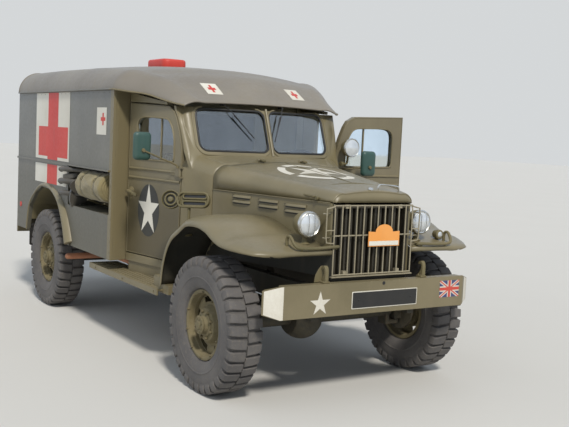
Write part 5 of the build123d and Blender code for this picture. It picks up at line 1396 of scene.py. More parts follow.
def make_bumper_detail():
    on_bumper = decals(lambda u, v: Vector((u, FRONT_Y - 0.3, v)), (0, 1, 0), nodes["front_bumper"])
    for word, inner in (("right", -0.708), ("left", 0.751)):
        bend, tip = 0.727, 0.812
        side = -1 if inner < 0 else 1
        polygon = [(side * tip, BUMPER_LOW + 0.031), (side * bend, BUMPER_LOW + 0.0015),
                   (inner, BUMPER_LOW + 0.0015), (inner, BUMPER_HIGH - 0.0015),
                   (side * bend, BUMPER_HIGH - 0.0015), (side * tip, BUMPER_HIGH - 0.031)]
        if abs(inner) > bend:
            low = BUMPER_LOW + 0.03 * (abs(inner) - bend) / (tip - bend)
            polygon = [(side * tip, BUMPER_LOW + 0.031), (inner, low + 0.0015),
                       (inner, 1.361 - low - 0.0015), (side * tip, BUMPER_HIGH - 0.031)]
        on_bumper("bumper_end_" + word, [polygon], white)
    on_bumper("bumper_star", star_parts(-0.443, 0.663, 0.078), white, 0.0012)
    plate = Shape("plate_rim")
    y = FRONT_Y - 0.0005
    plate.prism(rounded_box(-0.205, 0.325, 0.613, 0.723, 0.006, 2), y, y - 0.0025, along_y)
    plate.finish(white, 0.0006, slot="dark_paint")
    field = Shape("plate_field")
    field.prism(rounded_box(-0.199, 0.319, 0.619, 0.717, 0.004, 2), y - 0.002, y - 0.0034, along_y)
    for x in (-0.15, 0.27):
        field.spin(mm((0, 6), (3, 5), (3.5, 0)), (x, y - 0.003, 0.668), (0, -1, 0), 12)
    field.finish(black)
    x0, x1, z0, z1 = 0.523, 0.695, 0.643, 0.754
    cx, cz = (x0 + x1) / 2, (z0 + z1) / 2
    w, h = (x1 - x0) / 2, (z1 - z0) / 2
    on_bumper("flag_field", [rectangle(x0, x1, z0, z1)], blue, 0.001)
    lift = 0.0012
    for reach, bar, colour in ((0.013, 0.018, white), (0.005, 0.01, red)):
        for turn in (-1, 1):
            band = [(-w, -h * turn), (-w + reach * 1.5, -h * turn), (w, (h - reach) * turn), (w, h * turn),
                    (w - reach * 1.5, h * turn), (-w, (reach - h) * turn)]
            on_bumper("flag_band_%04d" % round(lift * 1e5), [[(cx + a, cz + b) for a, b in band]], colour,
                      lift)
            lift += 0.0002
        cross = [rectangle(cx - bar, cx + bar, z0, z1), rectangle(x0, cx - bar, cz - bar, cz + bar),
                 rectangle(cx + bar, x1, cz - bar, cz + bar)]
        on_bumper("flag_cross_%04d" % round(lift * 1e5), cross, colour, lift)
        lift += 0.0002
    # Black disc for the crank hole: painted shade.
    hole = Shape("crank_hole_shade")
    hole.spin(mm((0, 12), (1.5, 10.5), (1.6, 0)), (0.045, FRONT_Y, 0.7655), (0, -1, 0), 20)
    hole.finish(black)


make_bumper_detail()


def make_hooks():
    """Right: a tall hook with a bent nose. Left: a hook with a round plate beside it."""
    shape = Shape("tow_hooks_detail")
    top = BUMPER_HIGH
    for side in (-1, 1):
        x = side * 0.39
        y = FRONT_Y
        shape.block(*at((x, y, top), (-24, 16, 0.5), (24, 65.5, 12)))
        for dy in (0.028, 0.054):
            shape.spin(mm((0, 8), (6, 8), (8, 0)), (x - side * 0.012, y + dy, top + 0.012), UP, 6)
        outline = soft_outline(at((y, top), (20, 6), (16, 50), (18, 86), (32, 106), (52, 104), (62, 90),
                                  (56, 82), (46, 88), (36, 84), (34, 60), (46, 36), (60, 20), (62, 6)))
        shape.prism(outline, x - 0.013, x + 0.013, along_x)
    x = -0.39
    ear = soften(mm((-62, 2, 0), (-52, 50, 0), (-18, 100, 0), (10, 98, 0), (28, 60, 0), (34, 30, 0),
                    (34, 2, 0)), 5)
    outline = [(x + p.x, top + p.y) for p in ear]
    shape.prism(outline, FRONT_Y + 0.062, FRONT_Y + 0.0655, along_y)
    shape.finish(olive_worn, 0.002, stands_for=("tow_hooks",))


make_hooks()


# Ventilator: crowned cap over a low neck
def make_roof_vent():
    low, high = nodes_box("roof_vent")
    y = (low.y + high.y) / 2
    half_x, half_y, top = (high.x - low.x) / 2, (high.y - low.y) / 2, high.z
    cap = Shape("vent_cap")
    loops = []
    for grow, z, corner in ((0.9, top - 0.088, 0.055), (0.97, top - 0.086, 0.06), (1.0, top - 0.07, 0.062),
                            (0.995, top - 0.022, 0.062), (0.955, top - 0.008, 0.058),
                            (0.86, top - 0.0015, 0.05), (0.55, top, 0.03)):
        outline = rounded_box(-half_x * grow, half_x * grow, y - half_y + half_x * (1 - grow),
                              y + half_y - half_x * (1 - grow), corner)
        loops.append([Vector((a, b, z)) for a, b in outline])
    cap.skin(loops)
    for dy in (-0.12, 0.12):
        cap.rod(*at((0, y + dy, top), (0, 0, -4), (0, 0, -0.3)), 0.01, 0.008, 10)
    cap.finish(red, stands_for=("roof_vent",), angle=50.0)
    neck = Shape("vent_neck")
    outline = rounded_box(-half_x + 0.03, half_x - 0.03, y - half_y + 0.04, y + half_y - 0.04, 0.04)
    neck.prism(outline, top - 0.11, top - 0.058, along_z)
    neck.finish(olive)


make_roof_vent()


# Recess on the right: rolled canvas with straps, and hand tools behind it
ROLL_AXIS = (-0.878, 1.182)
ROLL_RADIUS = 0.122


def make_roll():
    x0, z0 = ROLL_AXIS
    y0, y1 = nodes_box("canvas_roll")[0].y, nodes_box("canvas_roll")[1].y
    straps = (y0 + 0.13, y0 + 0.42)
    shape = Shape("canvas_roll_cloth")
    turns, rows = 72, 64
    loops = []
    for k in range(rows + 1):
        share = k / rows
        y = y0 + 0.002 + (y1 - y0 - 0.004) * share
        pinch = sum(exp(-((y - s) / 0.02) ** 2) for s in straps)
        end = min(1.0, (min(share, 1 - share) * 26) ** 0.5) if 0 < share < 1 else 0.0
        loop = []
        for j in range(turns):
            t = 2 * pi * j / turns
            fold = 0.0022 * sin(3 * t + 9 * y) + 0.0016 * sin(7 * t - 23 * y) + 0.0012 * sin(13 * t + 41 * y)
            lap = 0.0045 if 0.6 < t < 0.9 else 0.0
            radius = (ROLL_RADIUS - 0.0065) * (0.9 + 0.1 * end) - 0.007 * pinch
            radius = radius + fold * (1 - 0.6 * pinch) + lap
            sag = -0.003 * (1 - cos(t - pi / 2))
            loop.append(Vector((x0 + radius * cos(t), y, z0 + radius * sin(t) + sag * 0.3)))
        loops.append(loop)
    shape.skin(loops)
    roll = shape.finish(canvas, stands_for=("canvas_roll",), angle=70.0)
    spiral = Shape("canvas_roll_ends")
    for y, out in ((y0 + 0.0005, -1), (y1 - 0.0005, 1)):
        line = []
        for k in range(120):
            t = 2 * pi * k / 24
            radius = 0.008 + (ROLL_RADIUS - 0.026) * k / 119 + 0.0012 * sin(5 * t)
            line.append(Vector((x0 + radius * cos(t), y - out * 0.0015, z0 + radius * 0.97 * sin(t))))
        spiral.tube(line, 0.0042, 6)
    spiral.finish(canvas)
    belts = Shape("canvas_straps")
    for s in straps:
        loops = []
        for j in range(48):
            t = 2 * pi * j / 48
            inner, outer = ROLL_RADIUS - 0.0115, ROLL_RADIUS - 0.0085
            loops.append([Vector((x0 + r * cos(t), s + dy, z0 + r * sin(t)))
                          for r, dy in ((inner, -0.013), (outer, -0.013), (outer, 0.013), (inner, 0.013))])
        belts.skin(loops, False, True)
        t = radians(150)
        spot = Vector((x0 + (ROLL_RADIUS - 0.006) * cos(t), s, z0 + (ROLL_RADIUS - 0.006) * sin(t)))
        across = Vector((-sin(t), 0, cos(t)))
        belts.tube([spot + across * 0.016 + Vector((0, 0.017, 0)),
                    spot - across * 0.016 + Vector((0, 0.017, 0)),
                    spot - across * 0.016 - Vector((0, 0.017, 0)),
                    spot + across * 0.016 - Vector((0, 0.017, 0))], 0.0022, 6, True)
    belts.finish(strap_cloth)


def make_tools():
    handles, heads = Shape("tool_handles"), Shape("tool_heads")
    wall = RECESS_WALL
    mid = (0.985 + 1.318) / 2
    rows = (mid - 0.096, mid, mid + 0.096)
    y_front, y_rear = RECESS_FRONT + 0.09, RECESS_FRONT + 0.93 - 0.06
    for n, z in enumerate(rows):
        x = wall - 0.04
        start, end = y_front + 0.02 * n, y_rear
        line = soften([(x, start, z), (x - 0.002, start + 0.15, z + 0.003),
                       (x, (start + end) / 2, z - 0.003), (x, end, z)], 6)
        loops = []
        for k, p in enumerate(line):
            share = k / (len(line) - 1)
            r = 0.015 + 0.002 * cos(share * 6.3) + 0.003 * max(0.0, 0.08 - share) / 0.08
            loops.append([p + Vector((r * cos(t), 0, r * 1.1 * sin(t))) for t in around(14)])
        handles.skin(loops)
    head_y = y_rear - 0.05
    axe = soft_outline(mm((30, 30), (-30, 26), (-100, 34), (-165, 66), (-186, 20), (-186, -30), (-160, -70),
                          (-100, -36), (-30, -26), (26, -30)))
    grow, half = 1.3, 0.016
    heads.prism([(wall - 0.04 + u * grow, mid - 0.096 + v * grow) for u, v in axe], head_y - half,
                head_y + half, along_y)
    y1 = y_rear - 0.085
    blade = soft_outline(mm((20, 0), (0, 60), (-50, 78), (-130, 66), (-176, 0), (-130, -66),
                            (-50, -78), (0, -60)))
    heads.prism([(wall - 0.045 + 1.45 * u, mid + v) for u, v in blade], y1 - 0.003, y1 + 0.003, along_y)
    heads.rod(*at((wall, y1, mid), (-40, -120, 0), (-52, 4, 0)), 0.018, 0.013, 12)
    y2 = y_rear - 0.02
    pick = soften(at((wall, y2, mid), (-8, -20, 66), (-30, 0, 90), (-50, 0, 98), (-150, 0, 96),
                     (-245, 12, 84), (-298, 100, 66)), 5)
    loops = []
    for k, p in enumerate(pick):
        share = k / (len(pick) - 1)
        w, h = 0.01 + 0.012 * (1 - share), 0.012 + 0.02 * abs(share - 0.45)
        loops.append([p + Vector((0, w, h)), p + Vector((0, w, -h)), p + Vector((0, -w, -h)),
                      p + Vector((0, -w, h))])
    heads.skin(loops)
    for z, radius in ((1.286, 0.02), (1.186, 0.024), (1.084, 0.021)):
        bar = soften(at((wall, y_rear, z), (-50, -220, 0)) + at((-BODY_HALF, y_rear, z), (80, -100, 0),
                                                                (-12, 0, 0), (-37, 70, 0), (-39, 150, -4)),
                     5)
        heads.tube(bar, radius, 12)
        heads.rod(bar[-1] - Vector((0, 0.03, 0)), bar[-1] + Vector((0, 0.012, 0)), radius + 0.004,
                  radius - 0.004, 14)
    rack = Shape("tool_rack")
    rack.block(*at((wall, y_front, 0), (-20, 300, 1015), (-1, 340, 1288)))
    rack.block(*at((wall, y_front, 0), (-16, 60, 1015), (-1, 84, 1288)))
    for z in rows:
        for y in (y_front + 0.32, y_front + 0.072):
            ring = [(wall - 0.034 + 0.022 * cos(t), z + 0.024 * sin(t)) for t in around(20)]
            rack.bead(ring, along_y, y, 0.004)
    shelf = ROLL_AXIS[1] - ROLL_RADIUS - 0.0003
    for y in (RECESS_FRONT + 0.19, RECESS_FRONT + 0.56):
        rack.block((ROLL_AXIS[0] - 0.026, y, shelf - 0.01), (wall - 0.0005, y + 0.03, shelf))
        rack.block(*at((ROLL_AXIS[0], y, shelf), (-27, 0, -10), (-23, 30, 2)))
        rack.tube([(ROLL_AXIS[0] - 0.01, y + 0.015, shelf - 0.008),
                   (wall - 0.004, y + 0.015, shelf - 0.075)], 0.006, 8)
    rack.finish(olive_worn, 0.001, slot="olive_paint")
    heads.finish(tool_steel, 0.0015, stands_for=("pioneer_tools",))
    handles.finish(wood)


make_roll()
make_tools()


# Cab shell: the cowl and windshield frame, with the posts rounded at their front corners
def applied(piece):
    """Give a piece the mesh that its modifiers make, and drop them."""
    bpy.context.view_layer.update()
    seen = piece.evaluated_get(bpy.context.evaluated_depsgraph_get())
    mesh = bpy.data.meshes.new_from_object(seen)
    piece.modifiers.clear()
    piece.data = mesh
    return piece


def make_cab_skin():
    cutters = Shape("post_cutters")
    for side in (-1, 1):
        loops = []
        for z, radius in ((1.452, 0.003), (1.48, 0.02), (1.515, 0.036), (1.7, 0.038), (1.87, 0.038)):
            y = VEE_Y + (z - RAKE_Z) * RAKE + VEE - 0.004
            half = cab_half(y)
            slope = (cab_half(y + 0.02) - half) / 0.02
            start, corner = Vector((half - radius, y + 0.045 * radius - 0.0004)), Vector((half, y))
            end = Vector((half + slope * radius + 0.0004, y + radius))
            arc = [start * (1 - t) ** 2 + corner * (2 * t * (1 - t)) + end * t ** 2
                   for t in [k / 8 for k in range(9)]]
            outline = [*arc, Vector((half + 0.06, y + radius)), Vector((half + 0.06, y - 0.05)),
                       Vector((half - radius, y - 0.05))]
            loops.append([Vector((side * p.x, p.y, z)) for p in outline])
        cutters.skin(loops)
    tool = cutters.finish(olive)
    cab = new_object("cab_skin", nodes["cowl_and_cab"].data.copy())
    cut = cab.modifiers.new("posts", "BOOLEAN")
    cut.operation = "DIFFERENCE"
    cut.solver = "EXACT"
    cut.object = tool
    applied(cab)
    bpy.data.objects.remove(tool)
    shade_smooth(cab.data, 28.0)
    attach(cab, "vehicle")
    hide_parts("cowl_and_cab")


make_cab_skin()


# Cab inside: dials, steering wheel, levers and pedals
def make_dash():
    face = DOOR_FRONT - 0.034
    panel, dials, marks = Shape("dash_panel"), Shape("dash_dials"), Shape("dash_marks")
    panel.prism(rounded_box(0.02, 0.3, 1.3, 1.425, 0.02), face, face + 0.006, along_y)
    panel.prism(rounded_box(-0.56, -0.2, 1.275, 1.425, 0.014), face, face + 0.004, along_y)
    panel.rod((-0.38, face, 1.405), (-0.38, face + 0.016, 1.405), 0.01, 0.008)
    for x, z, radius in ((0.16, 1.362, 0.05), (0.07, 1.388, 0.024), (0.07, 1.33, 0.024),
                         (0.25, 1.388, 0.024), (0.25, 1.33, 0.024)):
        panel.spin(at((0, radius), (0, 4), (7, 4), (9, 0), (6, -2)) + mm((6, 0)),
                   (x, face + 0.006, z), AFT, 32)
        dials.spin([(0.0, radius - 0.003), (0.0015, radius - 0.003), (0.0016, 0.0)],
                   (x, face + 0.0125, z), AFT, 32)
        for k in range(9):
            t = radians(225 - 33.75 * k)
            near, far = radius * 0.66, radius * 0.86
            marks.rod((x + near * cos(t), face + 0.0146, z + near * sin(t)),
                      (x + far * cos(t), face + 0.0146, z + far * sin(t)), 0.0008, None, 4)
        marks.rod((x, face + 0.015, z), (x - radius * 0.35, face + 0.015, z + radius * 0.45),
                  0.0009, None, 4)
    for k in range(5):
        x = -0.13 + 0.055 * (k % 3)
        z = 1.395 if k < 3 else 1.335
        panel.rod((x, face, z), (x, face + 0.012, z), 0.004, None, 10)
        panel.rod((x, face + 0.012, z), (x, face + 0.02, z), 0.011, 0.009, 14)
    panel.finish(dark, 0.0006)
    dials.finish(black)
    marks.finish(white, slot="dark_paint")


def make_steering():
    top = Vector((0.34, DOOR_FRONT + 0.19, 1.43))
    low = Vector((0.34, HOOD_REAR + 0.06, 0.781))
    axis = (top - low).normalized()
    side = Vector((1.0, 0.0, 0.0))
    up = axis.cross(side).normalized()
    wheel = Shape("steering_wheel")
    ring = [top + side * (0.215 * cos(t)) + up * (0.215 * sin(t)) for t in around(72)]
    wheel.tube(ring, 0.0125, 12, True)
    for k in range(3):
        t = radians(90 + 120 * k)
        way = side * cos(t) + up * sin(t)
        for shift in (-0.009, 0.009):
            across = axis.cross(way) * shift
            wheel.tube([top - axis * 0.012 + way * 0.03 + across, top - axis * 0.018 + way * 0.11 + across,
                        top + way * 0.206 + across * 0.6], 0.0045, 8)
    wheel.spin(mm((-36, 24), (-30, 36), (6, 38), (12, 32), (13, 20), (20, 18), (22, 0)), top, axis, 32)
    wheel.finish(black)
    column = Shape("steering_column_tube")
    column.rod(low, top - axis * 0.03, 0.02)
    share = (DOOR_FRONT - 0.047 - low.y) / (top.y - low.y)
    height = low.z + share * (top.z - low.z)
    start, = at((0, DOOR_FRONT, 0), (312, -47, 1249.5))
    dip = at((0, DOOR_FRONT, height), (316, -47, -10), (340, -47, -28), (364, -47, -10))
    end, = at((0, DOOR_FRONT, 0), (368, -47, 1249.5))
    column.tube([start, *dip, end], 0.006, 8)
    column.spin(mm((0, 45), (10, 45), (14, 30)), low, axis, 24)
    column.finish(dark, stands_for=("steering_column",))
    levers = Shape("floor_levers")
    lever_lines = (
        ((0.02, -0.86, CAB_FLOOR), (0.016, -0.88, 0.9), (0.03, -0.8, 1.12), 0.021),
        ((0.085, -0.9, CAB_FLOOR), (0.085, -0.905, 0.86), (0.095, -0.85, 0.985), 0.017),
        ((-0.05, -0.9, CAB_FLOOR), (-0.05, -0.9, 0.88), (-0.052, -0.83, 1.01), 0.013),
    )
    for foot, knee, tip, knob in lever_lines:
        levers.tube(soften([foot, knee, tip], 6), 0.008, 10)
        levers.spin([(-knob, 0.0), (-0.7 * knob, 0.7 * knob), (0.0, knob), (0.7 * knob, 0.7 * knob),
                     (knob, 0.0)], tip, (0, 0.2, 1), 16)
        levers.spin(mm((0, 40), (12, 34), (30, 14)), foot, UP, 20)
    for x, z in ((0.26, 0.88), (0.4, 0.88), (0.5, 0.84)):
        levers.tube([(x, -1.25, z - 0.09), (x, -1.215, z - 0.02), (x, -1.17, z)], 0.006, 8)
        levers.prism(rounded_box(x - 0.032, x + 0.032, z - 0.038, z + 0.034, 0.012, 3), -1.16, -1.17,
                     lambda u, v, w: Vector((u, w + (v - z) * 0.5, v)))
    levers.finish(black)


make_dash()
make_steering()


# Seat cushions: stuffed cloth, blown up by a short cloth run, with sewn channels
SEAT_REAR = DOOR_REAR - 0.04
SEAT_Z = 1.01
FILL_PRESSURE = 4.0
FILL_FRAMES = 20


def stuffed(name, size, cap, cell=0.01):
    """Pad mesh about the origin, blown up by the cloth run, each point moving by cap at most."""
    shape = Shape(name)
    shape.block(Vector(size) * -0.5, Vector(size) * 0.5)
    pad = shape.finish(seat_cloth, 0.02)
    grain = pad.modifiers.new("grain", "REMESH")
    grain.mode = "VOXEL"
    grain.voxel_size = cell
    applied(pad)
    before = [v.co.copy() for v in pad.data.vertices]
    fill = pad.modifiers.new("fill", "CLOTH")
    fill.settings.quality = 5
    fill.settings.use_pressure = True
    fill.settings.uniform_pressure_force = FILL_PRESSURE
    fill.settings.effector_weights.gravity = 0.0
    fill.collision_settings.use_collision = False
    for number in range(1, FILL_FRAMES + 1):
        bpy.context.scene.frame_set(number)
    seen = pad.evaluated_get(bpy.context.evaluated_depsgraph_get())
    after = [v.co.copy() for v in seen.data.vertices]
    pad.modifiers.clear()
    bpy.context.scene.frame_set(1)
    for vertex, old, new in zip(pad.data.vertices, before, after):
        move = new - old
        vertex.co = old + move * min(1.0, cap / max(move.length, 1e-6))
    mesh = pad.data
    bpy.data.objects.remove(pad)
    return mesh


def make_cushions():
    seat_mesh = stuffed("seat_pad", (0.404, 0.414, 0.082), 0.01)
    back_mesh = stuffed("back_pad", (0.404, 0.066, 0.356), 0.009)
    for mesh, face, across in ((seat_mesh, 2, 1), (back_mesh, 1, 2)):
        sign = 1.0 if face == 2 else -1.0
        for vertex in mesh.vertices:
            co = vertex.co
            depth = co[face] * sign
            if depth > 0.0:
                inside = max(0.0, 1 - (co[across] / 0.19) ** 4) * max(0.0, 1 - (co[0] / 0.195) ** 6)
                seam = sum(exp(-((co[0] - s) / 0.0085) ** 2) for s in (-0.12, -0.04, 0.04, 0.12))
                co[face] -= sign * 0.007 * seam * inside
        mesh.set_sharp_from_angle(angle=radians(80.0))
    for side, word in SIDES:
        x = side * 0.33
        for kind, mesh, place in (("seat", seat_mesh, (x, SEAT_REAR - 0.265, SEAT_Z + 0.03)),
                                  ("back", back_mesh, (x, SEAT_REAR - 0.068, SEAT_Z + 0.29))):
            pad = new_object("%s_cushion_%s" % (kind, word), mesh.copy())
            pad.data.transform(Matrix.Translation(place))
            pad.data.polygons.foreach_set("use_smooth", [True] * len(pad.data.polygons))
            smooth = pad.modifiers.new("smooth", "SUBSURF")
            smooth.levels = 1
            smooth.render_levels = 1
            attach(pad, "vehicle")
            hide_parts("seat_cushions")


make_cushions()


# Running boards: pressed ribs, end boxes with lids, and mud flaps
def make_boards():
    ribs = Shape("board_ribs")
    lids = Shape("board_boxes")
    for side in (-1, 1):
        for k in range(6):
            x = side * (0.728 + 0.034 * k)
            ribs.tube(at((x, BODY_FRONT, 0), (0, -660, 560.2), (0, 440, 560.2)), 0.0042, 6)
        x0, x1 = sorted((side * 0.699, side * 0.881))
        y0 = -1.2105
        lids.block((x0, y0 + 0.008, 0.6305), (x1, y0 + 0.16, 0.636))
        for y in (y0 + 0.04, y0 + 0.125):
            lids.rod(*at((side * 0.697, y, 0), (0, -14, 634), (0, 14, 634)), 0.005, None, 10)
        latch = (0.8805, 0.884) if side > 0 else (-0.884, -0.8805)
        lids.block((latch[0], y0 + 0.068, 0.6), (latch[1], y0 + 0.092, 0.634))
        for y in (-1.16, -0.6, -0.05):
            ribs.spin(mm((0, 8), (3, 7.5), (5, 0)), (side * 0.9355, y, 0.538), (side, 0, 0), 8)
    ribs.finish(olive_worn, slot="olive_paint")
    lids.finish(olive, 0.001)
    flaps = Shape("mud_flaps")
    for side in (-1, 1):
        x0, x1 = sorted((side * 0.7, side * 0.936))
        outline = rounded_box(x0, x1, 0.487, 0.7, 0.016, 3)
        flaps.prism(outline, 1.702, 1.708, along_y)
        flaps.block((x0 + 0.004, 1.698, 0.668), (x1 - 0.004, 1.712, 0.69))
    flaps.finish(black)


make_boards()


# Rivets, belt mouldings and handrails of the body; the rear doors' fittings
def make_body_trim():
    rivets = Shape("body_rivets")

    def rivet(point, out, size=0.0055):
        rivets.spin([(0.0, size), (0.0016, size * 0.85), (0.0026, 0.0)], point, out, 8)

    for side in (-1, 1):
        x = side * (BODY_HALF + 0.0001)
        for y in (BODY_FRONT + 0.016, BODY_REAR - 0.016, 1.555):
            z = 0.7 if y < 1 or y > 2 else 1.04
            while z < 1.93:
                if not (y < 0 and 1.32 < z < 1.36):
                    rivet((x, y, z), (side, 0, 0))
                z += 0.085
        y = BODY_FRONT + 0.1
        while y < BODY_REAR - 0.05:
            rivet((x, y, 1.928), (side, 0, 0))
            y += 0.11
    for side in (-1, 1):
        for z in [0.7 + 0.1 * k for k in range(12)]:
            rivet((side * 0.905, BODY_REAR + 0.0001, z), (0, 1, 0))
    for x in [-0.85 + 0.1 * k for k in range(18)]:
        rivet((x, BODY_REAR + 0.0001, 1.925), (0, 1, 0))
        rivet((x, BODY_REAR + 0.0001, 0.665), (0, 1, 0))
    rivets.finish(shaded_body_olive)
    trim = Shape("rear_fittings")
    for side in (-1, 1):
        rail = at((side * 0.775, BODY_REAR, 0), (0, 0, 1150), (0, 30, 1160), (0, 34, 1190), (0, 34, 1540),
                  (0, 30, 1570), (0, 0, 1580))
        trim.tube(rail, 0.0085, 10)
        for z in (1.15, 1.58):
            trim.spin(mm((0, 20), (3, 19), (5, 10)), (side * 0.775, BODY_REAR, z), AFT, 16)
    trim.tube(at((0, BODY_REAR, 0), (-660, 0.5, 1876), (660, 0.5, 1876)), 0.0075, 8)
    plate_x = -0.79
    trim.block(*at((plate_x, BODY_REAR, 0), (-85, 0.3, 1020), (85, 4, 1110)))
    trim.block(*at((plate_x, BODY_REAR, 0), (-20, 0.3, 1112), (20, 30, 1130)))
    trim.finish(olive, 0.0008)
    plate = Shape("rear_plate")
    plate.prism(rounded_box(plate_x - 0.078, plate_x + 0.078, 1.026, 1.104, 0.004, 2), BODY_REAR + 0.0038,
                BODY_REAR + 0.0052, along_y)
    plate.finish(black)
    for side, word in SIDES:
        body = "rear_door_" + word
        leaf = Shape("rear_door_trim_" + word)
        low_x, high_x = sorted((side * 0.03, side * 0.625))
        pane_x = side * 0.31
        window = rounded_box(pane_x - 0.16, pane_x + 0.16, 1.44, 1.74, 0.04)
        leaf.bead(window, along_y, BODY_REAR + 0.001, 0.0065, 8)
        for z0, z1 in ((0.84, 1.13), (1.4, 1.79)):
            panel = rounded_box(low_x + 0.03, high_x - 0.03, z0, z1, 0.03)
            leaf.bead(panel, along_y, BODY_REAR + 0.0003, 0.005)
        for z in (0.92, 1.7):
            for k in range(3):
                x = side * (0.575 - 0.03 * k)
                leaf.rod((x, BODY_REAR, z), (x, BODY_REAR + 0.005, z), 0.006, 0.005, 8)
        if side > 0:
            leaf.spin(mm((0, 30), (4, 29), (7, 18), (30, 11)), (0.034, BODY_REAR, 1.19), AFT, 24)
            leaf.tube(at((0, BODY_REAR, 0), (34, 30, 1190), (80, 34, 1190), (150, 30, 1180)), 0.008, 10)
            leaf.block(*at((0, BODY_REAR, 0), (0.5, 0.3, 800), (12, 4, 1840)))
        leaf.finish(olive, 0.0006, body)
        seal = Shape("rear_door_seal_" + word)
        seal.bead(rounded_box(pane_x - 0.156, pane_x + 0.156, 1.444, 1.736, 0.036), along_y,
                  BODY_REAR - 0.004, 0.006, 8)
        seal.finish(black, body=body)
        middle = side * 0.32
        on_leaf = decals(lambda u, v: Vector((u, BODY_REAR + 0.4, v)), (0, -1, 0), nodes[body], body)
        on_leaf("rear_field_" + word, [rectangle(middle - 0.12, middle + 0.12, 1.145, 1.385)], white,
                0.0012)
        on_leaf("rear_cross_" + word, plus_parts(middle, 1.265, 0.1, 0.034), red, 0.002)


make_body_trim()


def make_step_detail():
    shape = Shape("step_tread")
    for k in range(17):
        x = -0.48 + 0.06 * k
        shape.tube([(x, BODY_REAR + 0.085, 0.5003), (x, REAR_Y - 0.025, 0.5003)], 0.0045, 6)
    for y in (BODY_REAR + 0.072, REAR_Y - 0.012):
        shape.tube([(-0.508, y, 0.5005), (0.508, y, 0.5005)], 0.006, 8)
    for side in (-1, 1):
        for x in (0.6, 0.86):
            for z in (0.59, 0.67):
                shape.spin(mm((0, 11), (4, 10), (6, 0)), (side * x, BODY_REAR + 0.172, z), AFT, 8)
    shape.finish(olive_worn, slot="olive_paint")


make_step_detail()


# Engine: block, head, pan, air cleaner, manifold, generator, fan and hoses
def make_engine():
    shape = Shape("engine_detail")
    shape.block((-0.165, -2.08, 0.745), (0.165, -1.4, 1.015))
    shape.block((-0.122, -2.07, 1.015), (0.122, -1.415, 1.068))
    shape.prism(mm((-150, 745), (150, 745), (105, 605), (-105, 605)), -2.05, -1.45, along_y)
    shape.spin(mm((0, 165), (30, 205), (43, 205)), (0.0, -1.4, 0.85), AFT, 36)
    for side in (-1, 1):
        for k in range(7):
            y = -2.03 + 0.096 * k
            shape.rod((side * 0.098, y, 1.068), (side * 0.098, y, 1.084), 0.011, None, 6)
    for k in range(6):
        y = -1.982 + 0.096 * k
        shape.rod((0.0, y, 1.068), (0.0, y, 1.105), 0.009, 0.007, 10)
        shape.rod((0.165, y, 0.96), (0.205, y, 0.97), 0.024, 0.022, 12)
    shape.tube(mm((200, -2020, 972), (203, -1700, 960), (200, -1420, 972)), 0.0085, 14)
    shape.tube(mm((180, -1990, 952), (184, -1740, 930), (180, -1460, 952)), 0.026, 14)
    shape.rod((0.184, -1.74, 0.94), (0.184, -1.74, 0.7), 0.028, 0.026)
    shape.rod((-0.15, -2.06, 0.9), (-0.15, -1.86, 0.9), 0.055, 0.055, 24)
    shape.rod((-0.15, -2.085, 0.9), (-0.15, -2.06, 0.9), 0.045, 0.048, 24)
    shape.rod((-0.165, -1.56, 0.88), (-0.165, -1.56, 1.09), 0.044, 0.044, 24)
    shape.spin(mm((0, 20), (55, 22), (60, 36), (78, 40)), (0.0, -2.085, 0.93), (0, -1, 0), 24)
    for k in range(4):
        t = pi / 4 + pi / 2 * k
        across = Vector((cos(t), 0.0, sin(t)))
        twist = Vector((-sin(t), 0.0, cos(t)))
        centre = Vector((0.0, -2.155, 0.93))
        loops = []
        for reach, width in ((0.03, 0.018), (0.1, 0.034), (0.19, 0.042)):
            spot = centre + across * reach
            loops.append([spot + twist * width + Vector((0, 0.016, 0)),
                          spot - twist * width + Vector((0, -0.016, 0)),
                          spot - twist * width + Vector((0, -0.0135, 0)),
                          spot + twist * width + Vector((0, 0.0185, 0))])
        shape.skin(loops)
    shape.finish(dark_and_shaded_core, 0.004, stands_for=("engine",), slot="dark_paint")
    cleaner = Shape("air_cleaner")
    cleaner.spin(mm((0, 50), (4, 85), (50, 90), (58, 98), (70, 98), (84, 80), (90, 40), (94, 10), (100, 0)),
                 (0.06, -1.72, 1.078), UP, 36)
    cleaner.finish(olive_worn, slot="dark_paint")
    hoses = Shape("engine_hoses")
    hoses.tube(soften(mm((0, -2040, 1075), (0, -2080, 1120), (0, -2160, 1165), (0, -2258, 1180)), 6), 0.026,
               16)
    hoses.tube(soften(mm((-120, -2060, 800), (-125, -2140, 790), (-120, -2258, 780)), 6), 0.024, 16)
    for k in range(6):
        y = -1.982 + 0.096 * k
        hoses.tube(soften([(0.0, y, 1.104), (-0.03, y + 0.01, 1.128), (-0.1, -1.6 + 0.01 * k, 1.11),
                           (-0.13, -1.56 + 0.008 * k, 1.095)], 6), 0.0042, 6)
    hoses.finish(black)


make_engine()


# Underneath: spring clips, and the tank's filler cap
def make_under():
    shape = Shape("spring_clips")
    for side in (-1, 1):
        for y in (AXLE_F, AXLE_R):
            for dy in (-0.045, 0.045):
                x = side * 0.39
                shape.tube(at((x, y + dy, 0), (-33, 0, 480), (-33, 0, 590), (-28, 0, 604), (28, 0, 604),
                              (33, 0, 590), (33, 0, 480)), 0.007, 8)
                for dx in (-0.033, 0.033):
                    shape.rod((x + dx, y + dy, 0.484), (x + dx, y + dy, 0.494), 0.012, None, 6)
    shape.finish(dark)
    cap = Shape("tank_cap")
    cap.spin(mm((0, 30), (10, 36), (24, 36), (28, 20), (29, 0)), (-0.4, 1.64, 0.69), (-1, 0, 0.4), 24)
    cap.tube([(-0.3, 1.66, 0.67), (-0.36, 1.65, 0.672), (-0.4, 1.64, 0.69)], 0.024, 12)
    cap.finish(dark)


make_under()


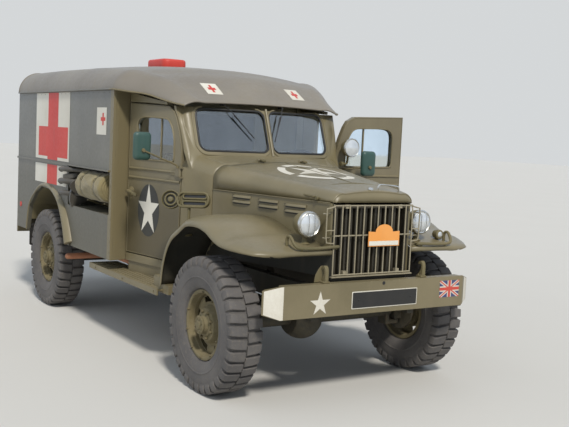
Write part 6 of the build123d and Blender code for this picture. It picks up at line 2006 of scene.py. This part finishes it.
# Flares along the rear wheel arches, and the drip moulding over the right recess
def make_arch_flares():
    shape = Shape("arch_flares")
    front, rear = AXLE_R - 0.69, AXLE_R + 0.48
    table = ((0.0, 0.646), (0.052, 0.763), (0.125, 0.884), (0.245, 1.002), (0.44, 1.081), (0.63, 1.091),
             (0.78, 1.021), (0.935, 0.883), (1.0, 0.646))
    section = ((0.0, -0.004), (0.0, 0.62), (0.1, 0.88), (0.28, 1.0), (0.52, 0.92), (0.76, 0.62),
               (0.94, 0.24), (1.0, -0.004))
    for side in (-1, 1):
        line = soften([(0.0, front + share * (rear - front), z) for share, z in table], 6)
        loops = []
        for k, point in enumerate(line):
            along = (line[min(k + 1, len(line) - 1)] - line[max(k - 1, 0)]).normalized()
            away = Vector((0.0, -along.z, along.y))
            share = (point.y - front) / (rear - front)
            grow = max(0.0, 1.0 - share / 0.4)
            wide, proud = 0.032 + 0.046 * grow, 0.022 + 0.032 * grow
            loops.append([point + away * (wide * a) + Vector((side * (BODY_HALF + proud * b), 0, 0))
                          for a, b in section])
        shape.skin(loops)
    shape.finish(olive, angle=70.0)
    drip = Shape("drip_moulding")
    x = -BODY_HALF - 0.004
    drip.tube(at((x, BODY_FRONT, 0), (0, 47, 1326), (0, 975, 1326)), 0.007, 8)
    drip.finish(shaded_body_olive)


make_arch_flares()


# Panels between the door sills and the running boards
def make_aprons():
    shape = Shape("board_aprons")
    for side in (-1, 1):
        loops = []
        for k in range(9):
            y = AXLE_F + 0.64 + (BODY_FRONT - AXLE_F - 0.642) * k / 8
            x = cab_half(y) - 0.012
            loops.append([Vector((side * a, y, z)) for a, z in ((x, 0.5606), (x, 0.6395),
                                                                (x - 0.003, 0.6395), (x - 0.003, 0.5606))])
        shape.skin(loops)
    shape.finish(olive)


make_aprons()


# Stage: pale floor and backdrop colour, soft studio light
def make_stage():
    bpy.ops.mesh.primitive_plane_add(size=120.0, location=(0.0, 0.0, 0.0))
    floor = bpy.context.object
    floor.name = "floor"
    n = Nodes("floor_pale")
    tone = n.mix(n.ramp(n.noise(0.6), 0.3, 0.7), (211, 210, 206), (213, 212, 208))
    floor.data.materials.append(n.finish(tone, 0.85))
    world = bpy.data.worlds.new("studio")
    bpy.context.scene.world = world
    world.use_nodes = True
    tree = world.node_tree

    def background(colour, strength):
        node = tree.nodes.new("ShaderNodeBackground")
        node.inputs["Color"].default_value = (*colour, 1.0)
        node.inputs["Strength"].default_value = strength
        return node.outputs[0]

    def switch(share, usual, other):
        node = tree.nodes.new("ShaderNodeMixShader")
        for socket, value in zip(node.inputs, (share, usual, other)):
            tree.links.new(value, socket)
        return node.outputs[0]

    path = tree.nodes.new("ShaderNodeLightPath")
    seen_rays = tree.nodes.new("ShaderNodeMath")
    seen_rays.operation = "MAXIMUM"
    tree.links.new(path.outputs["Is Camera Ray"], seen_rays.inputs[0])
    tree.links.new(path.outputs["Is Transmission Ray"], seen_rays.inputs[1])
    lit = background((0.82, 0.9, 1.0), 0.38)
    seen = background((0.66, 0.68, 0.69), 1.0)
    mirrored = background((0.74, 0.84, 1.0), 1.0)
    sky = switch(path.outputs["Is Glossy Ray"], switch(seen_rays.outputs[0], lit, seen), mirrored)
    tree.links.new(sky, tree.nodes["World Output"].inputs["Surface"])


def sun_light(name, source, strength, spread, colour):
    """Wide soft lamp far away, in the direction of source."""
    data = bpy.data.lights.new(name, "SUN")
    data.energy = strength
    data.angle = radians(spread)
    data.color = colour
    lamp = new_object(name, data)
    lamp.rotation_euler = Vector(source).to_track_quat("Z", "Y").to_euler()


make_stage()
sun_light("key", (-0.22, -0.64, 0.74), 2.7, 8.0, (1.0, 0.95, 0.87))
sun_light("fill", (-0.8, 0.1, 0.55), 0.35, 60.0, (0.88, 0.93, 1.0))
bpy.context.scene.view_settings.view_transform = "Standard"
